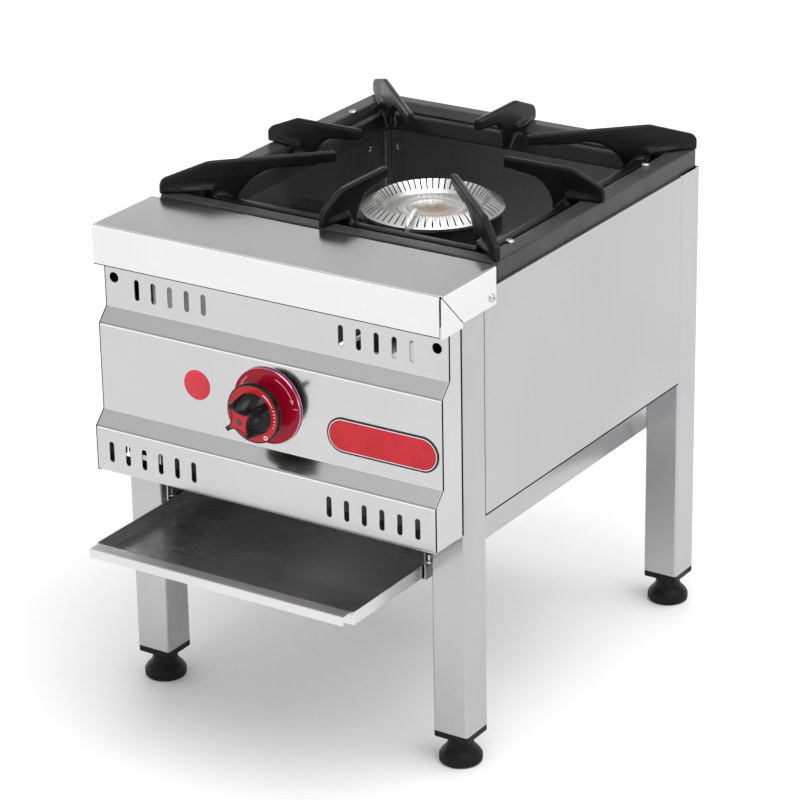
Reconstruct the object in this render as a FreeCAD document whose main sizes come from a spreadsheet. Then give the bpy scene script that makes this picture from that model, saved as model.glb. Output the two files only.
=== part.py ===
"""Stock pot range: one large gas burner in a stainless steel stand with a drip tray.

Millimetres. +X is to the right, +Y to the back and +Z up, seen from the control panel.
Pieces are modelled about the middle of the four legs, with the floor at z = 0.
At the end all of them move together, so that the origin is at the middle of the whole
range, on the floor.
"""
import FreeCAD, Part
import math
import os

import Sketcher
from FreeCAD import Placement, Rotation, Vector

# name, value in mm (or a plain count or degrees), what it measures
SIZES = [
    ("body_width", 411.0, "outside of the legs, left to right"),
    ("body_depth", 476.6, "outside of the legs, front to back"),
    ("leg_side", 40.0, "side of the square leg tube"),
    ("leg_wall", 1.5, "wall of the leg tube"),
    ("leg_length", 465.6, "length of the leg tube"),
    ("sheet", 1.0, "thickness of the body sheets"),
    ("joint_gap", 0.4, "gap between a body sheet and the leg beside it"),
    ("cap_thickness", 7.0, "plate of the plastic cap under a leg"),
    ("cap_plug_length", 22.0, "plug of the cap inside the leg"),
    ("cap_plug_gap", 0.2, "gap between the plug and the leg's wall"),
    ("foot_height", 30.5, "floor to the cap with the foot screwed in"),
    ("foot_radius", 22.3, "knurled rim of the foot"),
    ("foot_rim_height", 12.0, "floor to the top of the knurled rim"),
    ("foot_shoulder_height", 24.0, "floor to the foot's neck"),
    ("foot_neck_radius", 13.2, "neck of the foot"),
    ("foot_chamfer", 2.0, "bevel at the foot's lower edge"),
    ("foot_rim_step", 1.5, "knurled rim proud of the dome above it"),
    ("foot_dome_drop", 3.0, "foot's neck down to the steep part of the dome"),
    ("foot_gap", 0.3, "gap between the foot's neck and the cap"),
    ("stud_radius", 5.0, "threaded stud of the foot"),
    ("stud_floor", 6.0, "foot material under the stud"),
    ("stud_length", 72.0, "length of the stud"),
    ("stud_chamfer", 0.8, "bevel at both ends of the stud"),
    ("running_gap", 0.05, "radial gap of a turning or sliding fit"),
    ("hob_height", 20.0, "skirt of the hob plate"),
    ("hob_inset", 3.8, "outer face of the legs to the side of the hob plate"),
    ("hob_gap", 5.1, "rear edge of the apron to the hob plate"),
    ("hob_sheet", 1.5, "thickness of the hob plate"),
    ("hob_rim_side", 28.2, "flat rim at the left and the right"),
    ("hob_rim_end", 24.7, "flat rim at the front and the back"),
    ("apron_rise", 0.4, "apron top above the hob plate"),
    ("apron_sheet", 1.3, "thickness of the apron"),
    ("apron_overhang", 39.4, "apron front ahead of the legs"),
    ("apron_depth", 100.9, "apron, front to back"),
    ("apron_lip", 42.7, "front lip of the apron"),
    ("apron_side", 39.0, "side flange of the apron"),
    ("apron_corner_gap", 1.7, "slot between the lip and the side tab"),
    ("apron_fold", 2.5, "outer radius of the apron's folds"),
    ("apron_setback", 0.4, "front of the apron to its side flanges"),
    ("apron_tab_gap", 1.5, "corner tab of the apron to the legs"),
    ("apron_tab_drop", 1.0, "corner tab below the apron's lip"),
    ("panel_inset", 1.0, "outer face of the legs to the side of the control panel"),
    ("panel_sheet", 1.2, "thickness of the control panel"),
    ("band_top_depth", 25.5, "upper band ahead of the legs"),
    ("band_mid_depth", 38.9, "middle band ahead of the legs"),
    ("band_low_depth", 52.8, "lower band ahead of the legs"),
    ("band_top_height", 91.5, "apron top to the first bend"),
    ("bend_top_height", 14.7, "height of the upper slope"),
    ("band_mid_height", 93.4, "height of the middle band"),
    ("bend_low_height", 14.4, "height of the lower slope"),
    ("band_low_height", 48.0, "height of the lower band"),
    ("panel_return", 14.0, "inner flanges of the control panel"),
    ("slot_width", 6.0, "air slot"),
    ("slot_height", 22.3, "air slot, end to end"),
    ("slot_pitch", 20.6, "slot to slot"),
    ("slot_count_top", 5, "slots in each upper group"),
    ("slot_count_low", 6, "slots in each lower group"),
    ("slot_side", 19.7, "side of the panel to its outermost slot"),
    ("slot_top_drop", 68.2, "apron top to the middle of the upper slots"),
    ("slot_low_rise", 23.0, "panel's lower edge to the middle of the lower slots"),
    ("hole_radius", 5.5, "round hole in an upper corner"),
    ("hole_side", 12.3, "side of the panel to a round hole"),
    ("hole_drop", 59.3, "apron top to a round hole"),
    ("flange", 30.0, "flanges of the side and rear panels"),
    ("side_drop", 234.6, "leg top to the lower edge of the side and rear panels"),
    ("rail_sheet", 1.5, "thickness of the front rail"),
    ("rail_depth", 46.0, "top of the front rail, front to back"),
    ("rail_web", 24.0, "upright of the front rail"),
    ("burner_rail_side", 25.0, "leg of the burner rails' angle"),
    ("burner_rail_wall", 2.0, "wall of the burner rails' angle"),
    ("burner_rail_offset", 45.0, "middle of the burner to a burner bolt"),
    ("tray_side_gap", 10.0, "inner face of the legs to the side of the drip tray"),
    ("tray_length", 430.0, "drip tray, front wall to rear wall"),
    ("tray_height", 14.5, "wall of the drip tray"),
    ("tray_sheet", 1.0, "thickness of the drip tray"),
    ("tray_drop", 285.6, "leg top to the upper edge of the tray"),
    ("tray_out", 122.7, "front wall of the tray ahead of the legs"),
    ("tray_lip_depth", 14.5, "flat lip at the front of the tray"),
    ("tray_lip_height", 10.0, "drop of the lip"),
    ("tray_lip_short", 3.0, "lip's end inside the tray's side"),
    ("tray_gap", 0.3, "gap between the tray and its runners' ledges"),
    ("runner_gap", 1.7, "gap between the tray's side and the runner"),
    ("runner_sheet", 1.2, "thickness of the runners"),
    ("runner_inset", 1.0, "outer face of the legs to a runner's end"),
    ("runner_ledge", 18.4, "ledge of the runner under the tray"),
    ("runner_height", 63.0, "ledge to the runner's upper edge"),
    ("runner_screw_drop", 8.5, "upper edge of a runner to its screws"),
    ("keeper_rise", 5.0, "upper edge of the tray to the keeper screws"),
    ("keeper_grip", 5.0, "shank of a keeper screw"),
    ("runner_screw_inset", 8.5, "outer face of the legs to the runner's screws"),
    ("runner_bend_low", 40.0, "ledge to the runner's outward bend"),
    ("runner_bend_high", 46.0, "ledge to the part of the runner on the legs"),
    ("screw_radius", 2.0, "shank of a screw"),
    ("screw_head_radius", 4.5, "pan head of a screw"),
    ("screw_head_height", 2.4, "pan head of a screw"),
    ("screw_grip", 8.0, "shank of a short screw"),
    ("screw_gap", 0.15, "radial gap round a screw's shank"),
    ("hob_screw_front", 58.1, "front edge of the hob plate to its front screws"),
    ("hob_screw_rear", 78.5, "rear edge of the hob plate to its rear screws"),
    ("hob_screw_inset", 19.0, "side of the hob to its screws"),
    ("apron_screw_inset", 10.3, "apron's rear edge to its side screws"),
    ("apron_screw_drop", 30.5, "apron top to its side screws"),
    ("panel_screw_inset", 22.3, "inner face of a leg to a panel screw"),
    ("panel_screw_drop", 32.5, "leg top to the upper panel screws"),
    ("panel_screw_rise", 28.0, "panels' lower edge to the lower panel screws"),
    ("burner_drop", 38.2, "hob plate to the rim of the burner"),
    ("crown_radius", 76.0, "burner crown"),
    ("crown_slope", 15.0, "edge of the crown to its crest, seen from above"),
    ("crown_crest_rise", 9.2, "rim of the crown to its crest"),
    ("crown_inner_slope", 11.0, "crest of the crown to its inner floor, seen from above"),
    ("crown_floor_drop", 2.9, "rim of the crown to its inner floor"),
    ("crown_hole_radius", 30.0, "middle hole of the crown"),
    ("crown_wall", 3.0, "wall of the crown"),
    ("flame_slots", 56, "slots round the crown"),
    ("flame_slot_width", 1.6, "width of a flame slot"),
    ("flame_slot_inner", 8.0, "crest of the crown to the inner end of a flame slot"),
    ("flame_slot_outer", 2.5, "edge of the crown to the outer end of a flame slot"),
    ("dish_radius", 36.0, "steel dish in the middle of the crown"),
    ("dish_rise", 4.5, "dome of the dish"),
    ("dish_sheet", 1.5, "thickness of the dish"),
    ("dish_lip", 5.4, "flat edge of the dish"),
    ("dish_shoulder", 19.8, "radius where the dome of the dish steepens"),
    ("dish_shoulder_drop", 0.9, "middle of the dish to its shoulder"),
    ("bowl_inset", 3.5, "edge of the crown to the side of the burner bowl"),
    ("bowl_straight", 22.0, "straight upper part of the bowl"),
    ("bowl_depth", 40.5, "depth of the bowl"),
    ("bowl_corner", 14.5, "side of the bowl to its flat floor"),
    ("bowl_wall", 4.0, "wall of the bowl"),
    ("bolt_radius", 3.0, "burner bolt"),
    ("bolt_head_radius", 5.5, "head and nut of a burner bolt"),
    ("bolt_head_height", 4.0, "head and nut of a burner bolt"),
    ("bolt_proud", 2.0, "end of a burner bolt below its nut"),
    ("tube_radius", 20.0, "outside of the mixing tube"),
    ("tube_wall", 3.0, "wall of the mixing tube"),
    ("tube_bend", 40.0, "bend of the mixing tube"),
    ("tube_length", 143.3, "middle of the burner to the tube's face"),
    ("tube_face", 4.0, "face of the mixing tube"),
    ("air_hole_radius", 3.8, "air hole in the face and the shutter"),
    ("air_hole_circle", 12.5, "circle of the air holes"),
    ("air_holes", 4, "air holes"),
    ("shutter_radius", 19.0, "air shutter"),
    ("shutter_sheet", 1.6, "thickness of the air shutter"),
    ("shutter_gap", 0.3, "gap on both sides of the air shutter"),
    ("shutter_tab", 8.0, "finger tab of the air shutter"),
    ("holder_radius", 8.0, "injector holder inside the face"),
    ("holder_hex_radius", 11.0, "hexagon of the injector holder"),
    ("holder_hex_length", 18.0, "hexagon of the injector holder"),
    ("holder_nose", 12.0, "injector holder behind its hexagon"),
    ("port_radius", 6.0, "side port of the holder"),
    ("port_length", 14.0, "length of a side port"),
    ("jet_radius", 3.5, "injector"),
    ("jet_length", 8.0, "injector"),
    ("jet_bore", 0.9, "bore of the injector"),
    ("jet_shoulder", 4.8, "straight part of the injector"),
    ("jet_tip_radius", 1.75, "tip of the injector"),
    ("valve_side", 26.0, "width of the valve body"),
    ("valve_height", 34.0, "height of the valve body"),
    ("valve_length", 46.0, "depth of the valve body"),
    ("valve_setback", 14.0, "inside of the panel to the valve body"),
    ("valve_neck_radius", 10.8, "threaded neck of the valve"),
    ("valve_neck_proud", 8.0, "neck ahead of the panel"),
    ("valve_chamber_radius", 9.0, "spring chamber of the valve"),
    ("valve_chamber_front", 6.0, "valve wall ahead of the chamber"),
    ("valve_chamber_length", 32.0, "spring chamber of the valve"),
    ("valve_port_radius", 7.0, "side ports of the valve"),
    ("valve_nut_radius", 15.0, "lock nut on the neck, corner to middle"),
    ("valve_nut_height", 5.0, "lock nut on the neck"),
    ("stem_radius", 4.0, "valve stem"),
    ("stem_flat", 3.0, "middle of the stem to its flat"),
    ("stem_proud", 34.0, "stem ahead of the neck"),
    ("stem_flat_gap", 1.0, "neck to the flat of the stem"),
    ("plunger_radius", 8.9, "plunger in the chamber"),
    ("plunger_gap", 0.3, "front of the chamber to the plunger"),
    ("plunger_height", 4.0, "head of the plunger"),
    ("plunger_pin_radius", 3.0, "pin of the plunger"),
    ("plunger_pin_length", 12.0, "pin of the plunger"),
    ("spring_radius", 6.2, "return spring, middle of the wire"),
    ("spring_wire", 0.5, "radius of the spring's wire"),
    ("spring_turns", 6, "turns of the return spring"),
    ("spring_gap", 0.1, "gap at both ends of the return spring"),
    ("dial_offset", 2.5, "middle of the panel to the knob's axis"),
    ("dial_radius", 40.2, "dial with its bright rim"),
    ("dial_rim", 1.4, "width of the dial's bright rim"),
    ("dial_thickness", 1.8, "dial plate"),
    ("dial_rim_proud", 0.8, "rim ahead of the dial plate"),
    ("dial_rim_edge", 0.4, "slope at the rim's outer edge"),
    ("knob_clearance", 3.0, "pushed-in knob to the lock nut on the dial"),
    ("knob_skirt_radius", 31.0, "skirt of the knob"),
    ("knob_skirt", 6.5, "thickness of the skirt"),
    ("knob_hub_radius", 14.0, "hub behind the skirt"),
    ("knob_hub", 6.0, "length of the hub behind the skirt"),
    ("knob_grip_radius", 22.0, "grip where it meets the skirt"),
    ("knob_grip", 23.0, "grip ahead of the skirt"),
    ("knob_tip_radius", 19.6, "points of the grip's face"),
    ("knob_waist_radius", 9.4, "hollows between the points"),
    ("knob_foot_waist", 21.0, "hollows where the grip meets the skirt"),
    ("knob_foot_width", 10.0, "width of a point where the grip meets the skirt"),
    ("knob_tip_width", 6.0, "width of a point"),
    ("knob_turn", 35.0, "degrees from the X axis to a point of the grip"),
    ("knob_push", 4.0, "travel of the knob when it is pushed"),
    ("knob_ring", 0.6, "thickness of the skirt's red ring"),
    ("knob_ring_radius", 29.4, "outside of the red ring"),
    ("inlay_depth", 0.8, "thickness of the star in the grip's face"),
    ("inlay_border", 3.0, "black border round the star"),
    ("button_radius", 4.0, "grey button in the middle of the grip"),
    ("badge_length", 129.0, "badge plate, end to end"),
    ("badge_height", 37.5, "badge plate"),
    ("badge_thickness", 1.0, "badge plate"),
    ("badge_side", 3.0, "side of the panel to the badge's end"),
    ("badge_drop", 13.0, "knob's axis to the middle of the badge"),
    ("label_radius", 15.8, "round label"),
    ("label_thickness", 0.4, "round label"),
    ("label_offset", 83.4, "middle of the panel to the round label"),
    ("label_rise", 3.8, "knob's axis to the middle of the label"),
    ("inlet_radius", 10.48, "gas inlet thread, G 1/2"),
    ("inlet_bore", 7.0, "bore of the gas inlet"),
    ("inlet_proud", 24.0, "inlet thread behind the rear panel"),
    ("inlet_inside", 12.0, "inlet inside the rear panel"),
    ("inlet_flange_radius", 16.0, "hexagon of the inlet"),
    ("inlet_flange", 6.0, "hexagon of the inlet"),
    ("inlet_side", 85.5, "outer face of the legs to the middle of the inlet"),
    ("supply_radius", 6.0, "supply pipe"),
    ("feed_radius", 4.0, "feed pipe"),
    ("pipe_wall", 1.0, "wall of both pipes"),
    ("supply_bend", 26.0, "bend of the supply pipe"),
    ("feed_bend", 13.0, "bends of the feed pipe"),
    ("feed_reach", 62.0, "middle of the range to the feed pipe's long run"),
    ("supply_nut_radius", 11.0, "nut of the supply pipe, corner to middle"),
    ("feed_nut_radius", 8.0, "nut of the feed pipe, corner to middle"),
    ("nut_length", 12.0, "pipe nut"),
    ("probe_radius", 2.25, "thermocouple"),
    ("probe_bend", 8.0, "tight bends of the thermocouple"),
    ("probe_angle", -76.0, "degrees round the burner to the thermocouple"),
    ("probe_reach", 84.0, "middle of the burner to its upright"),
    ("probe_rise", 5.0, "crown to the middle of the thermocouple"),
    ("probe_inset", 4.0, "crown's floor and crest to the bends over them"),
    ("probe_over_tube", 9.0, "mixing tube to the thermocouple's lower run"),
    ("probe_run", 50.0, "back of the valve to the bend of the lower run"),
    ("probe_lead", 18.0, "straight end of the thermocouple at the valve"),
    ("probe_port_side", 6.0, "valve's axis to the thermocouple, sideways"),
    ("probe_port_rise", 9.0, "valve's axis to the thermocouple, upwards"),
    ("clip_sheet", 1.5, "thickness of the thermocouple's clip"),
    ("clip_width", 14.0, "clip of the thermocouple"),
    ("clip_drop", 8.0, "underside of the bowl to the clip's plate"),
    ("clip_tab", 14.0, "upright tab of the clip"),
    ("clip_gap", 0.1, "radial gap round the thermocouple in its clip"),
    ("grate_side_gap", 3.5, "side of the hob's opening to the pan support's frame"),
    ("grate_end_gap", 10.3, "end of the hob's opening to the pan support's frame"),
    ("grate_bar", 24.0, "width of the pan support's frame"),
    ("grate_slope", 13.0, "width of the frame's sloping inside"),
    ("grate_frame_height", 13.5, "frame of the pan support"),
    ("grate_drop", 19.1, "hob plate to the bottom of the frame"),
    ("grate_rest", 0.3, "gap between the fingers and the hob plate"),
    ("grate_rise", 31.0, "hob plate to the top of the fingers"),
    ("finger_thickness", 7.0, "blade of a finger"),
    ("finger_tip_height", 12.0, "height of a finger's inner end"),
    ("finger_end_rise", 15.5, "hob plate to the outer shoulder of a finger"),
    ("finger_round", 7.0, "radius at the outer shoulder"),
    ("finger_foot_width", 17.0, "foot under a finger's blade"),
    ("finger_foot_height", 4.0, "foot under a finger's blade"),
    ("finger_post", 6.0, "post between the frame and a finger's foot"),
    ("finger_post_sink", 2.0, "post inside the frame"),
    ("finger_foot_taper", 8.0, "frame to the taper of a finger's foot"),
    ("finger_foot_short", 4.0, "outer end of a finger to the end of its foot"),
    ("arch_drop", 3.0, "start of the arch below a finger's inner end"),
    ("arch_depth", 12.0, "deepest part of the arch below a finger's inner end"),
    ("side_finger_reach", 36.5, "frame to the outer end of a finger at a side"),
    ("side_finger_peak", 1.0, "frame to the peak of a finger at a side"),
    ("side_finger_tip", 12.0, "burner to the inner end of a finger at a side"),
    ("corner_finger_reach", 45.6, "frame to the outer end of a finger at a corner"),
    ("corner_finger_peak", 6.4, "frame to the peak of a finger at a corner"),
    ("corner_finger_tip", 26.0, "burner to the inner end of a finger at a corner"),
    ("corner_setback", 1.0, "corner of the frame to the root of its finger"),
    ("corner_foot_setback", 4.0, "corner of the frame to the foot of its finger"),
]

# heights, faces and axes that several pieces share, worked out from the sizes
DATUMS = [
    ("leg_bottom", "@foot_height+@cap_thickness"),
    ("leg_top", "#leg_bottom+@leg_length"),
    ("leg_x", "@body_width/2"),
    ("leg_y", "@body_depth/2"),
    ("leg_in_x", "#leg_x-@leg_side"),
    ("leg_in_y", "#leg_y-@leg_side"),
    ("hob_x", "#leg_x-@hob_inset"),
    ("hob_top", "#leg_top+@hob_height"),
    ("apron_top", "#hob_top+@apron_rise"),
    ("apron_x", "#leg_x+@apron_sheet"),
    ("apron_front", "-#leg_y-@apron_overhang"),
    ("apron_rear", "#apron_front+@apron_depth"),
    ("hob_front", "#apron_rear+@hob_gap"),
    ("hob_y", "(#hob_front+#leg_y)/2"),
    ("band_top_y", "-#leg_y-@band_top_depth"),
    ("band_mid_y", "-#leg_y-@band_mid_depth"),
    ("band_low_y", "-#leg_y-@band_low_depth"),
    ("panel_x", "#leg_x-@panel_inset"),
    ("slot_first", "#panel_x-@slot_side-@slot_pitch*(@slot_count_low-1)"),
    ("badge_x", "#panel_x-@badge_side-@badge_length/2"),
    ("panel_back", "-#leg_y-@joint_gap"),
    ("panel_top", "#apron_top-@apron_sheet"),
    ("bend_1", "#apron_top-@band_top_height"),
    ("bend_2", "#bend_1-@bend_top_height"),
    ("bend_3", "#bend_2-@band_mid_height"),
    ("bend_4", "#bend_3-@bend_low_height"),
    ("panel_bottom", "#bend_4-@band_low_height"),
    ("side_bottom", "#leg_top-@side_drop"),
    ("tray_top", "#leg_top-@tray_drop"),
    ("tray_bottom", "#tray_top-@tray_height"),
    ("tray_front", "-#leg_y-@tray_out"),
    ("ledge_top", "#tray_bottom-@tray_gap"),
    ("tray_x", "#leg_in_x-@tray_side_gap"),
    ("runner_x", "#tray_x+@runner_gap"),
    ("runner_screw_z", "#ledge_top+@runner_height-@runner_screw_drop"),
    ("keeper_z", "#tray_top+@keeper_rise"),
    ("runner_screw_y", "#leg_y-@runner_screw_inset"),
    ("screw_low", "#side_bottom+@panel_screw_rise"),
    ("screw_high", "#leg_top-@panel_screw_drop"),
    ("rim_z", "#hob_top-@burner_drop"),
    ("crest_radius", "@crown_radius-@crown_slope"),
    ("floor_radius", "#crest_radius-@crown_inner_slope"),
    ("bowl_radius", "@crown_radius-@bowl_inset"),
    ("bowl_floor_radius", "#bowl_radius-@bowl_corner"),
    ("crown_bottom", "#rim_z-@crown_wall"),
    ("crown_floor", "#rim_z-@crown_floor_drop"),
    ("bowl_bottom", "#crown_bottom-@bowl_depth"),
    ("knob_z", "(#bend_2+#bend_3)/2"),
    ("inlet_x", "#leg_x-@inlet_side"),
    ("tube_front", "#hob_y-@tube_length"),
    ("dial_front", "#band_mid_y-@dial_thickness"),
    ("valve_front", "#band_mid_y+@panel_sheet+@valve_setback"),
    ("valve_back", "#valve_front+@valve_length"),
    ("valve_mid_y", "#valve_front+@valve_length/2"),
    ("neck_front", "#band_mid_y-@valve_neck_proud"),
    ("chamber_front", "#valve_front+@valve_chamber_front"),
    ("chamber_back", "#chamber_front+@valve_chamber_length"),
    ("skirt_back", "#dial_front-@valve_nut_height-@knob_clearance-@knob_push-@knob_hub"),
    ("skirt_front", "#skirt_back-@knob_skirt"),
    ("grip_front", "#skirt_front-@knob_grip"),
    ("stem_front", "#neck_front-@stem_proud"),
    ("holder_back", "#tube_front-@shutter_sheet-2*@shutter_gap"),
    ("holder_mid", "#holder_back-@holder_hex_length/2"),
    ("grate_x", "#hob_x-@hob_rim_side-@grate_side_gap"),
    ("grate_y", "(#leg_y-#hob_front)/2-@hob_rim_end-@grate_end_gap"),
    ("grate_bottom", "#hob_top-@grate_drop"),
]

OVERCUT = 1.0  # how far a cutter reaches past the face it starts from
ROUND_MIDDLE = 0.3  # share of a radius from a corner's lines to the middle of its arc

SIDES = (("left", -1), ("right", 1))
ENDS = (("front", -1), ("rear", 1))
CORNERS = [(f"{end}_{side}", sx, sy) for end, sy in ENDS for side, sx in SIDES]

doc = FreeCAD.newDocument("stock_pot_range")
sheet = doc.addObject("Spreadsheet::Sheet", "Sizes")
for row, (alias, value, meaning) in enumerate(SIZES, start=1):
    sheet.set(f"A{row}", alias)
    sheet.set(f"B{row}", str(value))
    sheet.set(f"C{row}", meaning)
    sheet.setAlias(f"B{row}", alias)
doc.recompute()

datums = doc.addObject("App::VarSet", "Datums")


def expression(text):
    """An expression with @name for a size and #name for a datum."""
    return text.replace("@", "Sizes.").replace("#", "Datums.")


def bind(target, prop, text):
    target.setExpression(prop, expression(text))


for name, formula in DATUMS:
    datums.addProperty("App::PropertyFloat", name)
    bind(datums, name, formula)
doc.recompute()


def size(name):
    return float(getattr(sheet, name))


def datum(name):
    return float(getattr(datums, name))


# ---------------------------------------------------------------- building blocks

TURNS = {
    "+Z": Rotation(),
    "-Z": Rotation(Vector(1, 0, 0), 180),
    "+Y": Rotation(Vector(1, 0, 0), -90),
    "-Y": Rotation(Vector(1, 0, 0), 90),
    "+X": Rotation(Vector(0, 1, 0), 90),
    "-X": Rotation(Vector(0, 1, 0), -90),
}
nodes = []


def new(kind, name):
    return doc.addObject(kind, name)


def place(target, at, rotation=None):
    if rotation is not None:
        target.Placement = Placement(Vector(), rotation)
    for axis, text in zip("xyz", at):
        bind(target, f"Placement.Base.{axis}", text)


def block(name, x, y, z):
    """A box from pairs of expressions, low and high, along each axis."""
    box = new("Part::Box", name)
    for prop, (low, high) in zip(("Length", "Width", "Height"), (x, y, z)):
        bind(box, prop, f"({high})-({low})")
    place(box, (x[0], y[0], z[0]))
    return box


def cylinder(name, radius, length, at, axis="+Z"):
    rod = new("Part::Cylinder", name)
    bind(rod, "Radius", radius)
    bind(rod, "Height", length)
    place(rod, at, TURNS[axis])
    return rod


def hexagon(name, radius, length, at, axis="+Z"):
    prism = new("Part::Prism", name)
    prism.Polygon = 6
    bind(prism, "Circumradius", radius)
    bind(prism, "Height", length)
    place(prism, at, TURNS[axis])
    return prism


def fuse(name, pieces):
    if len(pieces) == 1:
        return pieces[0]
    joined = new("Part::MultiFuse", name)
    joined.Shapes = pieces
    return joined


def cut(name, base, tools):
    result = new("Part::Cut", name)
    result.Base = base
    result.Tool = fuse(f"{name}_tools", tools)
    return result


def group(name, pieces):
    compound = new("Part::Compound", name)
    compound.Links = pieces
    return compound


def node(name, shape_object):
    """Register a finished sub-part under the name of its file."""
    shape_object.Label = name
    nodes.append(shape_object)
    return shape_object


def origin_plane(body, role):
    return next(f for f in body.Origin.OriginFeatures if f.Role == role)


def outline_sketch(body, name, plane, points, offset=("0", "0", "0")):
    """A closed outline of straight lines. Both coordinates of every corner are bound."""
    sketch = body.newObject("Sketcher::SketchObject", name)
    sketch.AttachmentSupport = [(origin_plane(body, plane), "")]
    sketch.MapMode = "FlatFace"
    for axis, text in zip("xyz", offset):
        bind(sketch, f"AttachmentOffset.Base.{axis}", text)
    count = len(points)
    probe = new("App::VarSet", f"{name}_corners")
    corners = []
    for index, pair in enumerate(points):
        for letter, text in zip("xy", pair):
            probe.addProperty("App::PropertyFloat", f"{letter}{index}")
            bind(probe, f"{letter}{index}", text)
    probe.recompute()
    for index in range(count):
        corners.append(Vector(getattr(probe, f"x{index}"), getattr(probe, f"y{index}"), 0))
    for index, corner in enumerate(corners):
        sketch.addGeometry(Part.LineSegment(corner, corners[(index + 1) % count]), False)
    for index in range(count):
        sketch.addConstraint(Sketcher.Constraint("Coincident", index, 2, (index + 1) % count, 1))
    for index, corner in enumerate(corners):
        for letter, kind, value in (("x", "DistanceX", corner.x), ("y", "DistanceY", corner.y)):
            row = sketch.addConstraint(Sketcher.Constraint(kind, -1, 1, index, 1, value))
            sketch.renameConstraint(row, f"{letter}{index}")
            sketch.setExpression(f"Constraints.{letter}{index}", f"{probe.Name}.{letter}{index}")
    return sketch


def pad(body, sketch, length, reverse=False, middle=False):
    feature = body.newObject("PartDesign::Pad", f"{sketch.Name}_pad")
    feature.Profile = sketch
    bind(feature, "Length", length)
    feature.Reversed = reverse
    feature.Midplane = middle
    return feature


def turned(name, points, centre=("0", "0"), plane="XZ_Plane", height="0"):
    """A turned piece: an outline of radius and height, round Z, or round Y in XY_Plane."""
    body = new("PartDesign::Body", name)
    if plane == "XZ_Plane":
        offset = (centre[0], height, f"-({centre[1]})")
    else:
        offset = (centre[0], height, centre[1])
    sketch = outline_sketch(body, f"{name}_outline", plane, points, offset)
    feature = body.newObject("PartDesign::Revolution", f"{name}_turn")
    feature.Profile = sketch
    feature.ReferenceAxis = (sketch, ["V_Axis"])
    feature.Angle = 360
    return body


def tube_shape(points, bends, radius, wall=0.0):
    """A round bar or pipe along straight runs, with an arc of its own radius at each bend."""
    edges = []
    start = points[0]
    for index in range(1, len(points) - 1):
        corner = points[index]
        back = (points[index - 1] - corner).normalize()
        ahead = (points[index + 1] - corner).normalize()
        half = back.getAngle(ahead) / 2
        trim = bends[index - 1] / math.tan(half)
        first = corner + back * trim
        last = corner + ahead * trim
        middle = (back + ahead).normalize()
        reach = bends[index - 1] / math.sin(half) - bends[index - 1]
        edges.append(Part.LineSegment(start, first).toShape())
        edges.append(Part.Arc(first, corner + middle * reach, last).toShape())
        start = last
    edges.append(Part.LineSegment(start, points[-1]).toShape())
    spine = Part.Wire(edges)
    direction = (points[1] - points[0]).normalize()

    def sweep(section_radius):
        section = Part.Wire([Part.Circle(points[0], direction, section_radius).toShape()])
        return spine.makePipeShell([section], True, False)

    bar = sweep(radius)
    return bar.cut(sweep(radius - wall)) if wall else bar


def feature(name, shape):
    item = new("Part::Feature", name)
    item.Shape = shape
    return item


def screw(name, at, axis, length="@screw_grip"):
    """A pan head screw with its head's seat at the point and its shank along the axis."""
    sign, letter = axis
    back = ("-" if sign == "+" else "+") + letter
    head = cylinder(f"{name}_head", "@screw_head_radius", "@screw_head_height", at, back)
    shank = cylinder(f"{name}_shank", "@screw_radius", length, at, axis)
    return fuse(name, [head, shank])


def screw_hole(name, at, axis, length="@screw_grip"):
    return cylinder(name, "@screw_radius+@screw_gap", length, at, axis)


# ---------------------------------------------------------------- where the screws sit

def side_panel_screws():
    """Screws through the end flanges of the side panels into the legs."""
    spots = []
    for end, sy in ENDS:
        for side, sx in SIDES:
            for height in ("screw_low", "screw_high"):
                x = f"{sx}*(#leg_in_x+@panel_screw_inset)"
                y = f"{sy}*(#leg_in_y-@joint_gap-@sheet)"
                spots.append((f"{end}_{side}", (x, y, f"#{height}"), "+Y" if sy > 0 else "-Y"))
    return spots


def rear_panel_screws():
    """Screws through the side flanges of the rear panel into the rear legs."""
    spots = []
    for side, sx in SIDES:
        for height in ("screw_low", "screw_high"):
            x = f"{sx}*(#leg_in_x-@joint_gap-@sheet)"
            y = "#leg_in_y+@panel_screw_inset"
            spots.append((f"rear_{side}", (x, y, f"#{height}"), "+X" if sx > 0 else "-X"))
    return spots


def runner_screw_spots():
    """Screws through the tops of the tray runners into the legs' inner faces."""
    spots = []
    for end, sy in ENDS:
        for side, sx in SIDES:
            at = (f"{sx}*(#leg_in_x-@runner_sheet)", f"{sy}*#runner_screw_y", "#runner_screw_z")
            spots.append((f"{end}_{side}", at, "+X" if sx > 0 else "-X"))
    return spots


def keeper_spots():
    """Screws through the front of the runners, just above the tray, that keep it level."""
    spots = []
    for side, sx in SIDES:
        at = (f"{sx}*#runner_x", "-#runner_screw_y", "#keeper_z")
        spots.append((side, at, "+X" if sx > 0 else "-X"))
    return spots


HOB_SCREW_LENGTH = "@hob_height+3*@sheet"


def hob_screw_spots():
    spots = []
    for y in ("#hob_front+@hob_screw_front", "#leg_y-@hob_screw_rear"):
        for side, sx in SIDES:
            at = (f"{sx}*(#hob_x-@hob_screw_inset)", y, "#hob_top")
            spots.append((side, at, "-Z"))
    return spots


def apron_screw_spots():
    spots = []
    for side, sx in SIDES:
        at = (f"{sx}*#apron_x", "#apron_rear-@apron_screw_inset", "#apron_top-@apron_screw_drop")
        spots.append((side, at, "-X" if sx > 0 else "+X"))
    return spots


# ---------------------------------------------------------------- legs, caps and feet

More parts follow.
